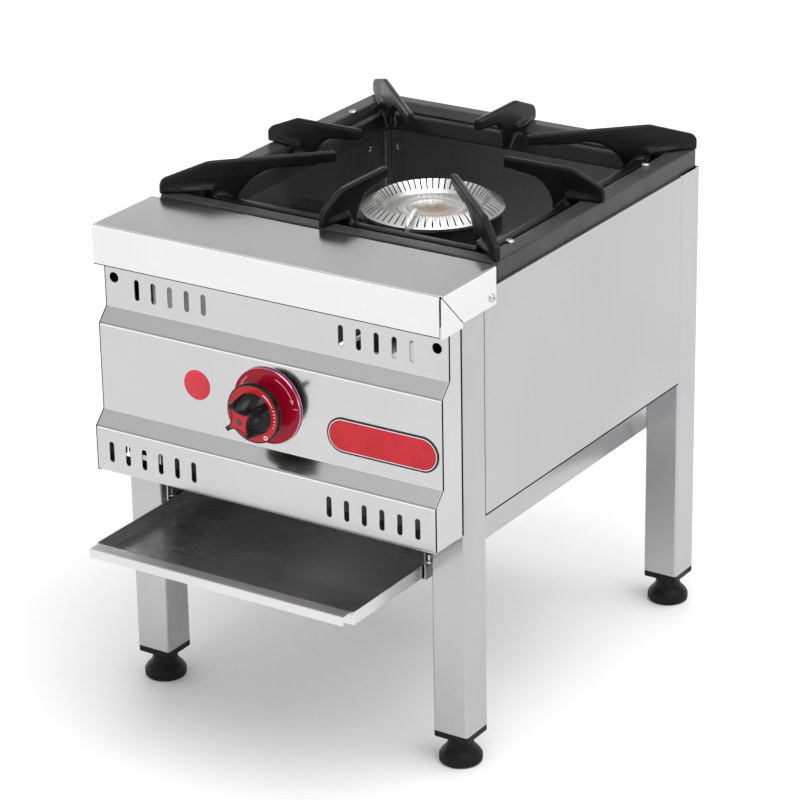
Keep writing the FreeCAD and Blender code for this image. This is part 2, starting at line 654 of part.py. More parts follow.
def leg(corner, sx, sy):
    """A square tube, open at both ends, with holes for the screws of its panels."""
    middle_x = f"{sx}*(#leg_x-@leg_side/2)"
    middle_y = f"{sy}*(#leg_y-@leg_side/2)"
    height = ("#leg_bottom", "#leg_top")

    def square(label, side):
        x = (f"{middle_x}-({side})/2", f"{middle_x}+({side})/2")
        y = (f"{middle_y}-({side})/2", f"{middle_y}+({side})/2")
        return block(label, x, y, height)

    name = f"leg_{corner}"
    tools = [square(f"{name}_bore", "@leg_side-2*@leg_wall")]
    spots = side_panel_screws() + rear_panel_screws() + runner_screw_spots()
    for index, (where, at, axis) in enumerate(spots):
        if where == corner:
            tools.append(screw_hole(f"{name}_hole_{index}", at, axis))
    node(name, cut(name, square(f"{name}_tube", "@leg_side"), tools))


def leg_cap(corner, sx, sy):
    """The plastic end of a leg, whose bore is the foot's nut."""
    middle_x = f"{sx}*(#leg_x-@leg_side/2)"
    middle_y = f"{sy}*(#leg_y-@leg_side/2)"
    plug = "(@leg_side/2-@leg_wall-@cap_plug_gap)"
    name = f"leg_cap_{corner}"

    def square(label, half, low, high):
        x = (f"{middle_x}-{half}", f"{middle_x}+{half}")
        y = (f"{middle_y}-{half}", f"{middle_y}+{half}")
        return block(label, x, y, (low, high))

    plate = square(f"{name}_plate", "@leg_side/2", "@foot_height", "#leg_bottom")
    inner = square(f"{name}_plug", plug, "#leg_bottom", "#leg_bottom+@cap_plug_length")
    bore = cylinder(
        f"{name}_bore", "@stud_radius+@running_gap", "@cap_thickness+@cap_plug_length",
        (middle_x, middle_y, "@foot_height"))
    node(name, cut(name, fuse(f"{name}_solid", [plate, inner]), [bore]))


def foot(corner, sx, sy):
    """A levelling foot: a threaded stud and the knurled base that turns it."""
    centre = (f"{sx}*(#leg_x-@leg_side/2)", f"{sy}*(#leg_y-@leg_side/2)")
    name = f"foot_base_{corner}"
    bore = "@stud_radius+@running_gap"
    top = "@foot_height-@foot_gap"
    outline = [
        ("0", "0"),
        ("@foot_radius-@foot_chamfer", "0"),
        ("@foot_radius", "@foot_chamfer"),
        ("@foot_radius", "@foot_rim_height"),
        ("@foot_radius-@foot_rim_step", "@foot_rim_height+(@foot_shoulder_height-@foot_rim_height)/3"),
        ("(@foot_radius+@foot_neck_radius)/2", "@foot_shoulder_height-@foot_dome_drop"),
        ("@foot_neck_radius", "@foot_shoulder_height"),
        ("@foot_neck_radius", top),
        (bore, top),
        (bore, "@stud_floor"),
        ("0", "@stud_floor"),
    ]
    node(name, turned(name, outline, centre))
    stud = f"foot_stud_{corner}"
    outline = [
        ("0", "@stud_floor+@foot_gap"),
        ("@stud_radius-@stud_chamfer", "@stud_floor+@foot_gap"),
        ("@stud_radius", "@stud_floor+@foot_gap+@stud_chamfer"),
        ("@stud_radius", "@stud_floor+@stud_length-@stud_chamfer"),
        ("@stud_radius-@stud_chamfer", "@stud_floor+@stud_length"),
        ("0", "@stud_floor+@stud_length"),
    ]
    node(stud, turned(stud, outline, centre))


# ---------------------------------------------------------------- hob plate and apron

def hob_plate():
    """A black plate with a skirt round it and a flange down into its square opening."""
    name = "hob_plate"
    half = "#hob_x"

    def frame(label, inset_x, inset_y, low, high):
        x = (f"-{half}+{inset_x}", f"{half}-({inset_x})")
        y = (f"#hob_front+{inset_y}", f"#leg_y-({inset_y})")
        return block(label, x, y, (low, high))

    under = "#hob_top-@hob_sheet"
    shell = cut("hob_shell", frame("hob_outer", "0", "0", "#leg_top", "#hob_top"),
                [frame("hob_hollow", "@hob_sheet", "@hob_sheet", "#leg_top", under)])
    flange = frame("hob_flange", "@hob_rim_side-@hob_sheet", "@hob_rim_end-@hob_sheet",
                   "#leg_top+@joint_gap", "#hob_top")
    opening = frame("hob_opening", "@hob_rim_side", "@hob_rim_end", "#leg_top", "#hob_top")
    holes = [
        screw_hole(f"hob_hole_{index}", at, axis, HOB_SCREW_LENGTH)
        for index, (side, at, axis) in enumerate(hob_screw_spots())
    ]
    node(name, cut(name, fuse("hob_solid", [shell, flange]), [opening] + holes))
    screws = [
        screw(f"hob_screw_{index}", at, axis, HOB_SCREW_LENGTH)
        for index, (side, at, axis) in enumerate(hob_screw_spots())
    ]
    node("hob_screws", group("hob_screws", screws))


def apron():
    """The folded front cover over the panel's upper edge, with tabs at its corners."""
    name = "apron"
    body = new("PartDesign::Body", "apron_folded")
    lip_half = "(#apron_x-@apron_sheet-@apron_corner_gap)"
    low = "#apron_top-@apron_lip"
    inside = "#apron_front+@apron_sheet"
    under = "#apron_top-@apron_sheet"
    rear_in = "#apron_rear-@apron_sheet"
    outline = [
        ("#apron_front", low), ("#apron_front", "#apron_top-@apron_fold"),
        (f"#apron_front+{ROUND_MIDDLE}*@apron_fold", f"#apron_top-{ROUND_MIDDLE}*@apron_fold"),
        ("#apron_front+@apron_fold", "#apron_top"),
        ("#apron_rear", "#apron_top"), ("#apron_rear", "#leg_top-@sheet"),
        (rear_in, "#leg_top-@sheet"), (rear_in, under),
        (inside, under), (inside, low),
    ]
    sketch = outline_sketch(body, "apron_section", "YZ_Plane", outline)
    pad(body, sketch, f"2*{lip_half}", middle=True)
    top = block("apron_top", ("-#apron_x", "#apron_x"),
                ("#apron_front+@apron_fold", "#apron_rear"), (under, "#apron_top"))
    pieces = [body, top]
    for side, sx in SIDES:
        inner = f"{sx}*#leg_x"
        outer = f"{sx}*#apron_x"
        x = (inner, outer) if sx > 0 else (outer, inner)
        pieces.append(block(f"apron_flange_{side}", x, ("#apron_front+@apron_setback", "#apron_rear"),
                            ("#apron_top-@apron_side", "#apron_top")))
        pieces.append(block(f"apron_tab_{side}", x, ("#apron_front+@apron_setback", "-#leg_y-@apron_tab_gap"),
                            ("#apron_top-@apron_lip-@apron_tab_drop", "#apron_top")))
    notches = []
    for side, sx in SIDES:
        edge = f"{sx}*(#leg_x-@flange-@joint_gap)"
        far = f"{sx}*#leg_x"
        x = (edge, far) if sx > 0 else (far, edge)
        notches.append(block(f"apron_notch_{side}", x, ("#apron_rear-@apron_sheet", "#apron_rear"),
                             ("#leg_top-@sheet", "#leg_top")))
    for index, (side, at, axis) in enumerate(apron_screw_spots()):
        notches.append(screw_hole(f"apron_hole_{index}", at, axis))
    node(name, cut(name, fuse("apron_solid", pieces), notches))
    screws = [
        screw(f"apron_screw_{index}", at, axis)
        for index, (side, at, axis) in enumerate(apron_screw_spots())
    ]
    node("apron_screws", group("apron_screws", screws))


# ---------------------------------------------------------------- control panel

def slot_row(body, name, x, z, pitch, count):
    """A row of round-ended slots: one pocket and its linear pattern."""
    sketch = body.newObject("Sketcher::SketchObject", name)
    sketch.AttachmentSupport = [(origin_plane(body, "XZ_Plane"), "")]
    sketch.MapMode = "FlatFace"
    bind(sketch, "AttachmentOffset.Base.x", x)
    bind(sketch, "AttachmentOffset.Base.y", z)
    bind(sketch, "AttachmentOffset.Base.z", f"-#band_low_y+{OVERCUT}")
    half = size("slot_width") / 2
    reach = size("slot_height") / 2 - half
    up = Vector(0, 0, 1)
    sketch.addGeometry(Part.LineSegment(Vector(-half, reach, 0), Vector(-half, -reach, 0)), False)
    sketch.addGeometry(
        Part.ArcOfCircle(Part.Circle(Vector(0, -reach, 0), up, half), math.pi, 2 * math.pi), False)
    sketch.addGeometry(Part.LineSegment(Vector(half, -reach, 0), Vector(half, reach, 0)), False)
    sketch.addGeometry(
        Part.ArcOfCircle(Part.Circle(Vector(0, reach, 0), up, half), 0, math.pi), False)
    for first, end, second, start in ((0, 2, 1, 1), (1, 2, 2, 1), (2, 2, 3, 1), (3, 2, 0, 1)):
        sketch.addConstraint(Sketcher.Constraint("Tangent", first, end, second, start))
    sketch.addConstraint(Sketcher.Constraint("Vertical", 0))
    sketch.addConstraint(Sketcher.Constraint("PointOnObject", 1, 3, -2))
    sketch.addConstraint(Sketcher.Constraint("Symmetric", 1, 3, 3, 3, -1, 1))
    row = sketch.addConstraint(Sketcher.Constraint("Radius", 1, half))
    sketch.renameConstraint(row, "round")
    bind(sketch, "Constraints.round", "@slot_width/2")
    row = sketch.addConstraint(Sketcher.Constraint("DistanceY", 1, 3, 3, 3, 2 * reach))
    sketch.renameConstraint(row, "straight")
    bind(sketch, "Constraints.straight", "@slot_height-@slot_width")
    pocket = body.newObject("PartDesign::Pocket", f"{name}_pocket")
    pocket.Profile = sketch
    bind(pocket, "Length", f"@band_low_depth-@band_top_depth+{OVERCUT}+3*@panel_sheet")
    pattern = body.newObject("PartDesign::LinearPattern", f"{name}_pattern")
    pattern.Originals = [pocket]
    pattern.Direction = (sketch, ["H_Axis"])
    bind(pattern, "Length", f"{pitch}*({count}-1)")
    bind(pattern, "Occurrences", count)
    body.Tip = pattern


def control_panel():
    """The front sheet in three bands that step forward on the way down."""
    name = "control_panel"
    body = new("PartDesign::Body", "panel_folded")
    skin = [
        ("#band_top_y", "#panel_top"), ("#band_top_y", "#bend_1"),
        ("#band_mid_y", "#bend_2"), ("#band_mid_y", "#bend_3"),
        ("#band_low_y", "#bend_4"), ("#band_low_y", "#panel_bottom"),
    ]
    inner = [(f"{y}+@panel_sheet", z) for y, z in reversed(skin)]
    inner[0] = (inner[0][0], "#panel_bottom+@panel_sheet")
    inner[-1] = (inner[-1][0], "#panel_top-@panel_sheet")
    low_return = [
        ("#band_low_y+@panel_return", "#panel_bottom"),
        ("#band_low_y+@panel_return", "#panel_bottom+@panel_sheet"),
    ]
    top_return = [
        ("#band_top_y+@panel_return", "#panel_top-@panel_sheet"),
        ("#band_top_y+@panel_return", "#panel_top"),
    ]
    outline = skin + low_return + inner + top_return
    sketch = outline_sketch(body, "panel_section", "YZ_Plane", outline)
    pad(body, sketch, "2*#panel_x", middle=True)
    cheek = skin + [("#panel_back", "#panel_bottom"), ("#panel_back", "#panel_top")]
    for side, sx in SIDES:
        offset = f"{sx}*#panel_x"
        sketch = outline_sketch(body, f"panel_cheek_{side}", "YZ_Plane", cheek, ("0", "0", offset))
        pad(body, sketch, "@panel_sheet", reverse=sx > 0)
    groups = (
        ("slots_top", "@slot_count_top", "#apron_top-@slot_top_drop"),
        ("slots_low", "@slot_count_low", "#panel_bottom+@slot_low_rise"),
    )
    for row, count, z in groups:
        slot_row(body, f"{row}_right", "#slot_first", z, "@slot_pitch", count)
        far = f"-#slot_first-@slot_pitch*({count}-1)"
        slot_row(body, f"{row}_left", far, z, "@slot_pitch", count)
    returns = []
    tools = []
    for side, sx in SIDES:
        edge = f"{sx}*#panel_x"
        inside = f"{sx}*(#panel_x-@panel_return)"
        x = (inside, edge) if sx > 0 else (edge, inside)
        returns.append(block(f"panel_return_{side}", x, ("#panel_back-@panel_sheet", "#panel_back"),
                             ("#panel_bottom", "#leg_top")))
        tools.append(cylinder(f"panel_hole_{side}", "@hole_radius", "3*@panel_sheet",
                              (f"{sx}*(#panel_x-@hole_side)", "#band_top_y-@panel_sheet",
                               "#apron_top-@hole_drop"), "+Y"))
    neck = cylinder("panel_neck_hole", "@valve_neck_radius+@screw_gap", "3*@panel_sheet",
                    ("@dial_offset", "#band_mid_y-@panel_sheet", "#knob_z"), "+Y")
    node(name, cut(name, fuse("panel_solid", [body] + returns), tools + [neck]))


def dial_and_badges():
    """The round dial behind the knob, its rim, a bare badge plate and a round label."""
    face = [("@valve_neck_radius+@screw_gap", "#dial_front"), ("@dial_radius-@dial_rim", "#dial_front"),
            ("@dial_radius-@dial_rim", "#band_mid_y"), ("@valve_neck_radius+@screw_gap", "#band_mid_y")]
    node("dial_plate", turned("dial_plate", face, ("@dial_offset", "#knob_z"), "XY_Plane"))
    rim = [("@dial_radius-@dial_rim", "#dial_front-@dial_rim_proud"),
           ("@dial_radius-@dial_rim_edge", "#dial_front-@dial_rim_proud"),
           ("@dial_radius", "#dial_front"),
           ("@dial_radius", "#band_mid_y"), ("@dial_radius-@dial_rim", "#band_mid_y")]
    node("dial_rim", turned("dial_rim", rim, ("@dial_offset", "#knob_z"), "XY_Plane"))
    straight = "(@badge_length-@badge_height)/2"
    z = "#knob_z-@badge_drop"
    plate = [block("badge_middle", (f"#badge_x-{straight}", f"#badge_x+{straight}"),
                   ("#band_mid_y-@badge_thickness", "#band_mid_y"),
                   (f"{z}-@badge_height/2", f"{z}+@badge_height/2"))]
    for side, sx in SIDES:
        plate.append(cylinder(f"badge_end_{side}", "@badge_height/2", "@badge_thickness",
                              (f"#badge_x+{sx}*{straight}", "#band_mid_y", z), "-Y"))
    node("badge_plate", fuse("badge_plate", plate))
    label = [("0", "#band_mid_y-@label_thickness"), ("@label_radius", "#band_mid_y-@label_thickness"),
             ("@label_radius", "#band_mid_y"), ("0", "#band_mid_y")]
    node("round_label", turned("round_label", label, ("-@label_offset", "#knob_z+@label_rise"), "XY_Plane"))


# ---------------------------------------------------------------- body sheets and rails

def side_panel(side, sx):
    """A sheet between two legs, flanged inwards on all four edges."""
    name = f"side_panel_{side}"

    def span(near, far):
        return (f"{sx}*({near})", f"{sx}*({far})") if sx > 0 else (f"{sx}*({far})", f"{sx}*({near})")

    reach = "(#leg_in_y-@joint_gap)"
    full = (f"-{reach}", reach)
    height = ("#side_bottom", "#leg_top")
    wide = span("#leg_x-@flange", "#leg_x")
    pieces = [
        block(f"{name}_web", span("#leg_x-@sheet", "#leg_x"), full, height),
        block(f"{name}_top", wide, full, ("#leg_top-@sheet", "#leg_top")),
        block(f"{name}_bottom", span("#leg_x-@flange/2", "#leg_x"), full,
              ("#side_bottom", "#side_bottom+@sheet")),
        block(f"{name}_front", wide, (f"-{reach}", f"-{reach}+@sheet"), height),
        block(f"{name}_rear", wide, (f"{reach}-@sheet", reach), height),
    ]
    tools = []
    for index, (where, at, axis) in enumerate(side_panel_screws()):
        if where.endswith(side):
            tools.append(screw_hole(f"{name}_hole_{index}", at, axis))
    for index, (where, at, axis) in enumerate(hob_screw_spots()):
        if where == side:
            tools.append(screw_hole(f"{name}_hob_hole_{index}", at, axis, HOB_SCREW_LENGTH))
    for index, (where, at, axis) in enumerate(apron_screw_spots()):
        if where == side:
            tools.append(screw_hole(f"{name}_apron_hole_{index}", at, axis))
    node(name, cut(name, fuse(f"{name}_solid", pieces), tools))


def rear_panel():
    """The back sheet between the rear legs, with the hole of the gas inlet."""
    name = "rear_panel"
    reach = "(#leg_in_x-@joint_gap)"
    full = (f"-{reach}", reach)
    height = ("#side_bottom", "#leg_top")
    deep = ("#leg_y-@flange", "#leg_y")
    pieces = [
        block("rear_web", full, ("#leg_y-@sheet", "#leg_y"), height),
        block("rear_top", full, deep, ("#leg_top-@sheet", "#leg_top")),
        block("rear_bottom", full, ("#leg_y-@flange/2", "#leg_y"), ("#side_bottom", "#side_bottom+@sheet")),
        block("rear_left", (f"-{reach}", f"-{reach}+@sheet"), deep, height),
        block("rear_right", (f"{reach}-@sheet", reach), deep, height),
    ]
    tools = [
        screw_hole(f"rear_hole_{index}", at, axis)
        for index, (where, at, axis) in enumerate(rear_panel_screws())
    ]
    tools.append(cylinder("rear_inlet_hole", "@inlet_radius+@screw_gap", "3*@sheet",
                          ("-#inlet_x", "#leg_y-2*@sheet", "#knob_z"), "+Y"))
    node(name, cut(name, fuse("rear_solid", pieces), tools))


def body_screws():
    spots = side_panel_screws() + rear_panel_screws()
    screws = [screw(f"panel_screw_{i}", at, axis) for i, (where, at, axis) in enumerate(spots)]
    node("panel_screws", group("panel_screws", screws))


def front_rail():
    """The rail under the front of the hob plate, which also carries the apron's rear fold."""
    half = "#leg_x-@sheet"
    front = "-#leg_in_y+@joint_gap+@sheet"
    top = "#leg_top-@sheet"
    flat = block("front_rail_flat", (f"-({half})", half), (front, f"{front}+@rail_depth"),
                 (f"{top}-@rail_sheet", top))
    web = block("front_rail_web", (f"-({half})", half), (front, f"{front}+@rail_sheet"),
                (f"{top}-@rail_web", top))
    tools = []
    for index, (where, at, axis) in enumerate(hob_screw_spots()):
        tools.append(screw_hole(f"front_rail_hole_{index}", at, axis, HOB_SCREW_LENGTH))
    node("front_rail", cut("front_rail", fuse("front_rail_solid", [flat, web]), tools))


def burner_rail(end, sy):
    """An angle across the body, under the burner bowl."""
    name = f"burner_rail_{end}"
    middle = f"#hob_y+{sy}*@burner_rail_offset"
    half = "#leg_x-@sheet"
    top = "#bowl_bottom"
    flat = block(f"{name}_flat", (f"-({half})", half),
                 (f"{middle}-@burner_rail_side/2", f"{middle}+@burner_rail_side/2"),
                 (f"{top}-@burner_rail_wall", top))
    edge = f"{middle}+{sy}*@burner_rail_side/2"
    inner = f"{edge}-{sy}*@burner_rail_wall"
    y = (inner, edge) if sy > 0 else (edge, inner)
    web = block(f"{name}_web", (f"-({half})", half), y, (f"{top}-@burner_rail_side", top))
    hole = cylinder(f"{name}_hole", "@bolt_radius+@screw_gap", "3*@burner_rail_wall",
                    ("0", middle, f"{top}+@burner_rail_wall"), "-Z")
    node(name, cut(name, fuse(f"{name}_solid", [flat, web]), [hole]))


# ---------------------------------------------------------------- drip tray and runners

def drip_tray():
    """A shallow tray, pulled part of the way out, with a folded lip as its handle."""
    half = "#tray_x"
    wall = "@tray_sheet"
    rear = "#tray_front+@tray_length"
    outer = block("tray_outer", (f"-{half}", half), ("#tray_front", rear), ("#tray_bottom", "#tray_top"))
    inner = block("tray_inner", (f"-{half}+{wall}", f"{half}-{wall}"),
                  (f"#tray_front+{wall}", f"{rear}-{wall}"), (f"#tray_bottom+{wall}", "#tray_top"))
    lip_half = "(#tray_x-@tray_lip_short)"
    tip = "#tray_front-@tray_lip_depth"
    lip_top = block("tray_lip_top", (f"-{lip_half}", lip_half), (tip, f"#tray_front+{wall}"),
                    (f"#tray_top-{wall}", "#tray_top"))
    lip_drop = block("tray_lip_drop", (f"-{lip_half}", lip_half), (tip, f"{tip}+{wall}"),
                     ("#tray_top-@tray_lip_height", "#tray_top"))
    pan = cut("tray_pan", outer, [inner])
    node("drip_tray", fuse("drip_tray", [pan, lip_top, lip_drop]))


def tray_runner(side, sx):
    """A folded strip inside the legs: a ledge for the tray, an upright and a top on the legs."""
    name = f"tray_runner_{side}"
    thick = "@runner_sheet"
    bend_low = "#ledge_top+@runner_bend_low"
    bend_high = "#ledge_top+@runner_bend_high"
    top = "#ledge_top+@runner_height"
    outline = [
        (f"#runner_x+{thick}-@runner_ledge", f"#ledge_top-{thick}"),
        (f"#runner_x+{thick}", f"#ledge_top-{thick}"),
        (f"#runner_x+{thick}", bend_low),
        ("#leg_in_x", bend_high),
        ("#leg_in_x", top),
        (f"#leg_in_x-{thick}", top),
        (f"#leg_in_x-{thick}", f"{bend_high}+{thick}"),
        ("#runner_x", f"{bend_low}+{thick}"),
        ("#runner_x", "#ledge_top"),
        (f"#runner_x+{thick}-@runner_ledge", "#ledge_top"),
    ]
    mirrored = [(f"{sx}*({x})", z) for x, z in outline]
    body = new("PartDesign::Body", f"{name}_folded")
    sketch = outline_sketch(body, f"{name}_section", "XZ_Plane", mirrored)
    pad(body, sketch, "@body_depth-2*@runner_inset", middle=True)
    tools = []
    for index, (where, at, axis) in enumerate(runner_screw_spots()):
        if where.endswith(side):
            tools.append(screw_hole(f"{name}_hole_{index}", at, axis))
    for where, at, axis in keeper_spots():
        if where == side:
            tools.append(screw_hole(f"{name}_keeper_hole", at, axis))
    node(name, cut(name, body, tools))


def runner_screws():
    """Screws of the runners in the legs, and the two keeper screws over the tray."""
    screws = [
        screw(f"runner_screw_{index}", at, axis)
        for index, (where, at, axis) in enumerate(runner_screw_spots())
    ]
    screws += [screw(f"keeper_{side}", at, axis, "@keeper_grip") for side, at, axis in keeper_spots()]
    node("runner_screws", group("runner_screws", screws))


# ---------------------------------------------------------------- burner

SLOPE_WALL = 1.4  # height of the crown's wall under its crest, as a share of its thickness


def burner_crown():
    """The slotted ring: it slopes up to a crest and steeply down to an inner floor."""
    name = "burner_crown"
    crest = "#rim_z+@crown_crest_rise"
    outline = [
        ("@crown_radius", "#crown_bottom"),
        ("@crown_radius", "#rim_z"),
        ("#crest_radius", crest),
        ("#floor_radius", "#crown_floor"),
        ("@crown_hole_radius", "#crown_floor"),
        ("@crown_hole_radius", "#crown_floor-@crown_wall"),
        (f"#floor_radius+{ROUND_MIDDLE}*@crown_wall", "#crown_floor-@crown_wall"),
        ("#crest_radius", f"{crest}-{SLOPE_WALL}*@crown_wall"),
        ("#bowl_radius-@bowl_wall", "#crown_bottom"),
    ]
    body = turned(name, outline, ("0", "#hob_y"))
    half = "@flame_slot_width/2"
    inner = "#crest_radius-@flame_slot_inner"
    outer = "@crown_radius-@flame_slot_outer"
    slot = [(inner, f"-{half}"), (outer, f"-{half}"), (outer, half), (inner, half)]
    sketch = outline_sketch(body, "flame_slot", "XY_Plane", slot, ("0", "#hob_y", f"{crest}+{OVERCUT}"))
    pocket = body.newObject("PartDesign::Pocket", "flame_slot_pocket")
    pocket.Profile = sketch
    bind(pocket, "Length", f"@crown_crest_rise+@crown_wall+@crown_floor_drop+2*{OVERCUT}")
    doc.recompute()
    pattern = body.newObject("PartDesign::PolarPattern", "flame_slot_pattern")
    pattern.Originals = [pocket]
    turn_sketch = body.getObject(f"{name}_outline")
    pattern.Axis = (turn_sketch, ["V_Axis"])
    pattern.Angle = 360
    bind(pattern, "Occurrences", "@flame_slots")
    body.Tip = pattern
    node(name, body)


def burner_dish():
    """The shallow steel dome that closes the middle of the crown."""
    name = "burner_dish"
    low = "#crown_floor"
    outline = [
        ("0", f"{low}+@dish_rise"),
        ("@dish_shoulder", f"{low}+@dish_rise-@dish_shoulder_drop"),
        ("@dish_radius-@dish_lip", f"{low}+@dish_sheet"),
        ("@dish_radius", f"{low}+@dish_sheet"),
        ("@dish_radius", low),
        ("@dish_radius-@dish_lip-@dish_sheet/2", low),
        ("@dish_shoulder-@dish_sheet/2", f"{low}+@dish_rise-@dish_shoulder_drop-@dish_sheet"),
        ("0", f"{low}+@dish_rise-@dish_sheet"),
    ]
    node(name, turned(name, outline, ("0", "#hob_y")))


def burner_bowl():
    """The cast bowl under the crown, open at the top and with a hole to the mixing tube."""
    name = "burner_bowl"
    top = "#crown_bottom"
    shoulder = "#crown_bottom-@bowl_straight"
    hole = "@tube_radius-@tube_wall"
    outline = [
        ("#bowl_radius", top),
        ("#bowl_radius", shoulder),
        ("#bowl_floor_radius", "#bowl_bottom"),
        (hole, "#bowl_bottom"),
        (hole, "#bowl_bottom+@bowl_wall"),
        ("#bowl_floor_radius-@bowl_wall/2", "#bowl_bottom+@bowl_wall"),
        ("#bowl_radius-@bowl_wall", shoulder),
        ("#bowl_radius-@bowl_wall", top),
    ]
    body = turned("bowl_turned", outline, ("0", "#hob_y"))
    holes = [
        cylinder(f"bowl_hole_{end}", "@bolt_radius+@screw_gap", "2*@bowl_wall",
                 ("0", f"#hob_y+{sy}*@burner_rail_offset", f"#bowl_bottom-{OVERCUT}"))
        for end, sy in ENDS
    ]
    node(name, cut(name, body, holes))


def burner_bolts():
    """Bolts with nuts that hold the bowl to its two rails."""
    bolts = []
    for end, sy in ENDS:
        y = f"#hob_y+{sy}*@burner_rail_offset"
        head_seat = ("0", y, "#bowl_bottom+@bowl_wall")
        nut_seat = ("0", y, "#bowl_bottom-@burner_rail_wall")
        length = "@bowl_wall+@burner_rail_wall+@bolt_head_height+@bolt_proud"
        head = hexagon(f"bolt_head_{end}", "@bolt_head_radius", "@bolt_head_height", head_seat)
        shank = cylinder(f"bolt_shank_{end}", "@bolt_radius", length, head_seat, "-Z")
        nut = hexagon(f"bolt_nut_{end}", "@bolt_head_radius", "@bolt_head_height", nut_seat, "-Z")
        bolts.append(fuse(f"burner_bolt_{end}", [head, shank, nut]))
    node("burner_bolts", group("burner_bolts", bolts))


def air_holes(name, y, length):
    """Cutters for the air holes that the tube's face and the shutter share."""
    count = int(size("air_holes"))
    tools = []
    for index in range(count):
        angle = f"({index}+0.5)*360/@air_holes"
        at = (f"@air_hole_circle*cos({angle})", y, f"#knob_z+@air_hole_circle*sin({angle})")
        tools.append(cylinder(f"{name}_air_{index}", "@air_hole_radius", length, at, "+Y"))
    return tools


def mixing_tube():
    """The gas and air tube: down from the bowl, round an elbow and forward to its face."""
    name = "mixing_tube"
    bend = size("tube_bend")
    z = datum("knob_z")
    y = datum("hob_y")
    points = [
        Vector(0, y, datum("bowl_bottom")),
        Vector(0, y, z),
        Vector(0, datum("tube_front"), z),
    ]
    pipe = feature("tube_swept", tube_shape(points, [bend], size("tube_radius"), size("tube_wall")))
    face = cylinder("tube_face_plate", "@tube_radius", "@tube_face", ("0", "#tube_front", "#knob_z"), "+Y")
    bore = cylinder("tube_face_bore", "@holder_radius+@running_gap", "2*@tube_face",
                    ("0", f"#tube_front-{OVERCUT}", "#knob_z"), "+Y")
    holes = air_holes("tube", f"#tube_front-{OVERCUT}", "2*@tube_face")
    node(name, cut(name, fuse("tube_solid", [pipe, face]), [bore] + holes))


def air_shutter():
    """The disc that turns on the injector holder to open or close the air holes."""
    name = "air_shutter"
    y = "#tube_front-@shutter_gap"
    disc = cylinder("shutter_disc", "@shutter_radius", "@shutter_sheet", ("0", y, "#knob_z"), "-Y")
    tab = block("shutter_tab", ("-@shutter_tab/2", "@shutter_tab/2"), (f"{y}-@shutter_sheet", y),
                ("#knob_z", "#knob_z+@shutter_radius+@shutter_tab"))
    bore = cylinder("shutter_bore", "@holder_radius+@running_gap", "3*@shutter_sheet",
                    ("0", f"{y}-2*@shutter_sheet", "#knob_z"), "+Y")
    holes = air_holes("shutter", f"{y}-2*@shutter_sheet", "3*@shutter_sheet")
    node(name, cut(name, fuse("shutter_solid", [disc, tab]), [bore] + holes))


def injector():
    """The brass holder with its side port, and the jet in its nose."""
    hexa = hexagon("holder_hex", "@holder_hex_radius", "@holder_hex_length",
                   ("0", "#holder_back", "#knob_z"), "-Y")
    nose = cylinder("holder_nose", "@holder_radius", "@holder_nose", ("0", "#holder_back", "#knob_z"), "+Y")
    port = cylinder("holder_port", "@port_radius", "@holder_hex_radius+@port_length/2",
                    ("0", "#holder_mid", "#knob_z"), "+X")
    inner = "@feed_radius-@pipe_wall"
    across = cylinder("holder_port_bore", inner, "@holder_hex_radius+@port_length/2",
                      ("0", "#holder_mid", "#knob_z"), "+X")
    along = cylinder("holder_bore", inner, "@holder_nose+@holder_hex_length/2",
                     ("0", "#holder_mid", "#knob_z"), "+Y")
    solid = fuse("holder_solid", [hexa, nose, port])
    node("injector_holder", cut("injector_holder", solid, [across, along]))
    base = "#holder_back+@holder_nose"
    jet = [
        ("@jet_bore", base), ("@jet_radius", base),
        ("@jet_radius", f"{base}+@jet_shoulder"),
        ("@jet_tip_radius", f"{base}+@jet_length"), ("@jet_bore", f"{base}+@jet_length"),
    ]
    node("injector", turned("injector", jet, ("0", "#knob_z"), "XY_Plane"))


# ---------------------------------------------------------------- valve, knob and pipes

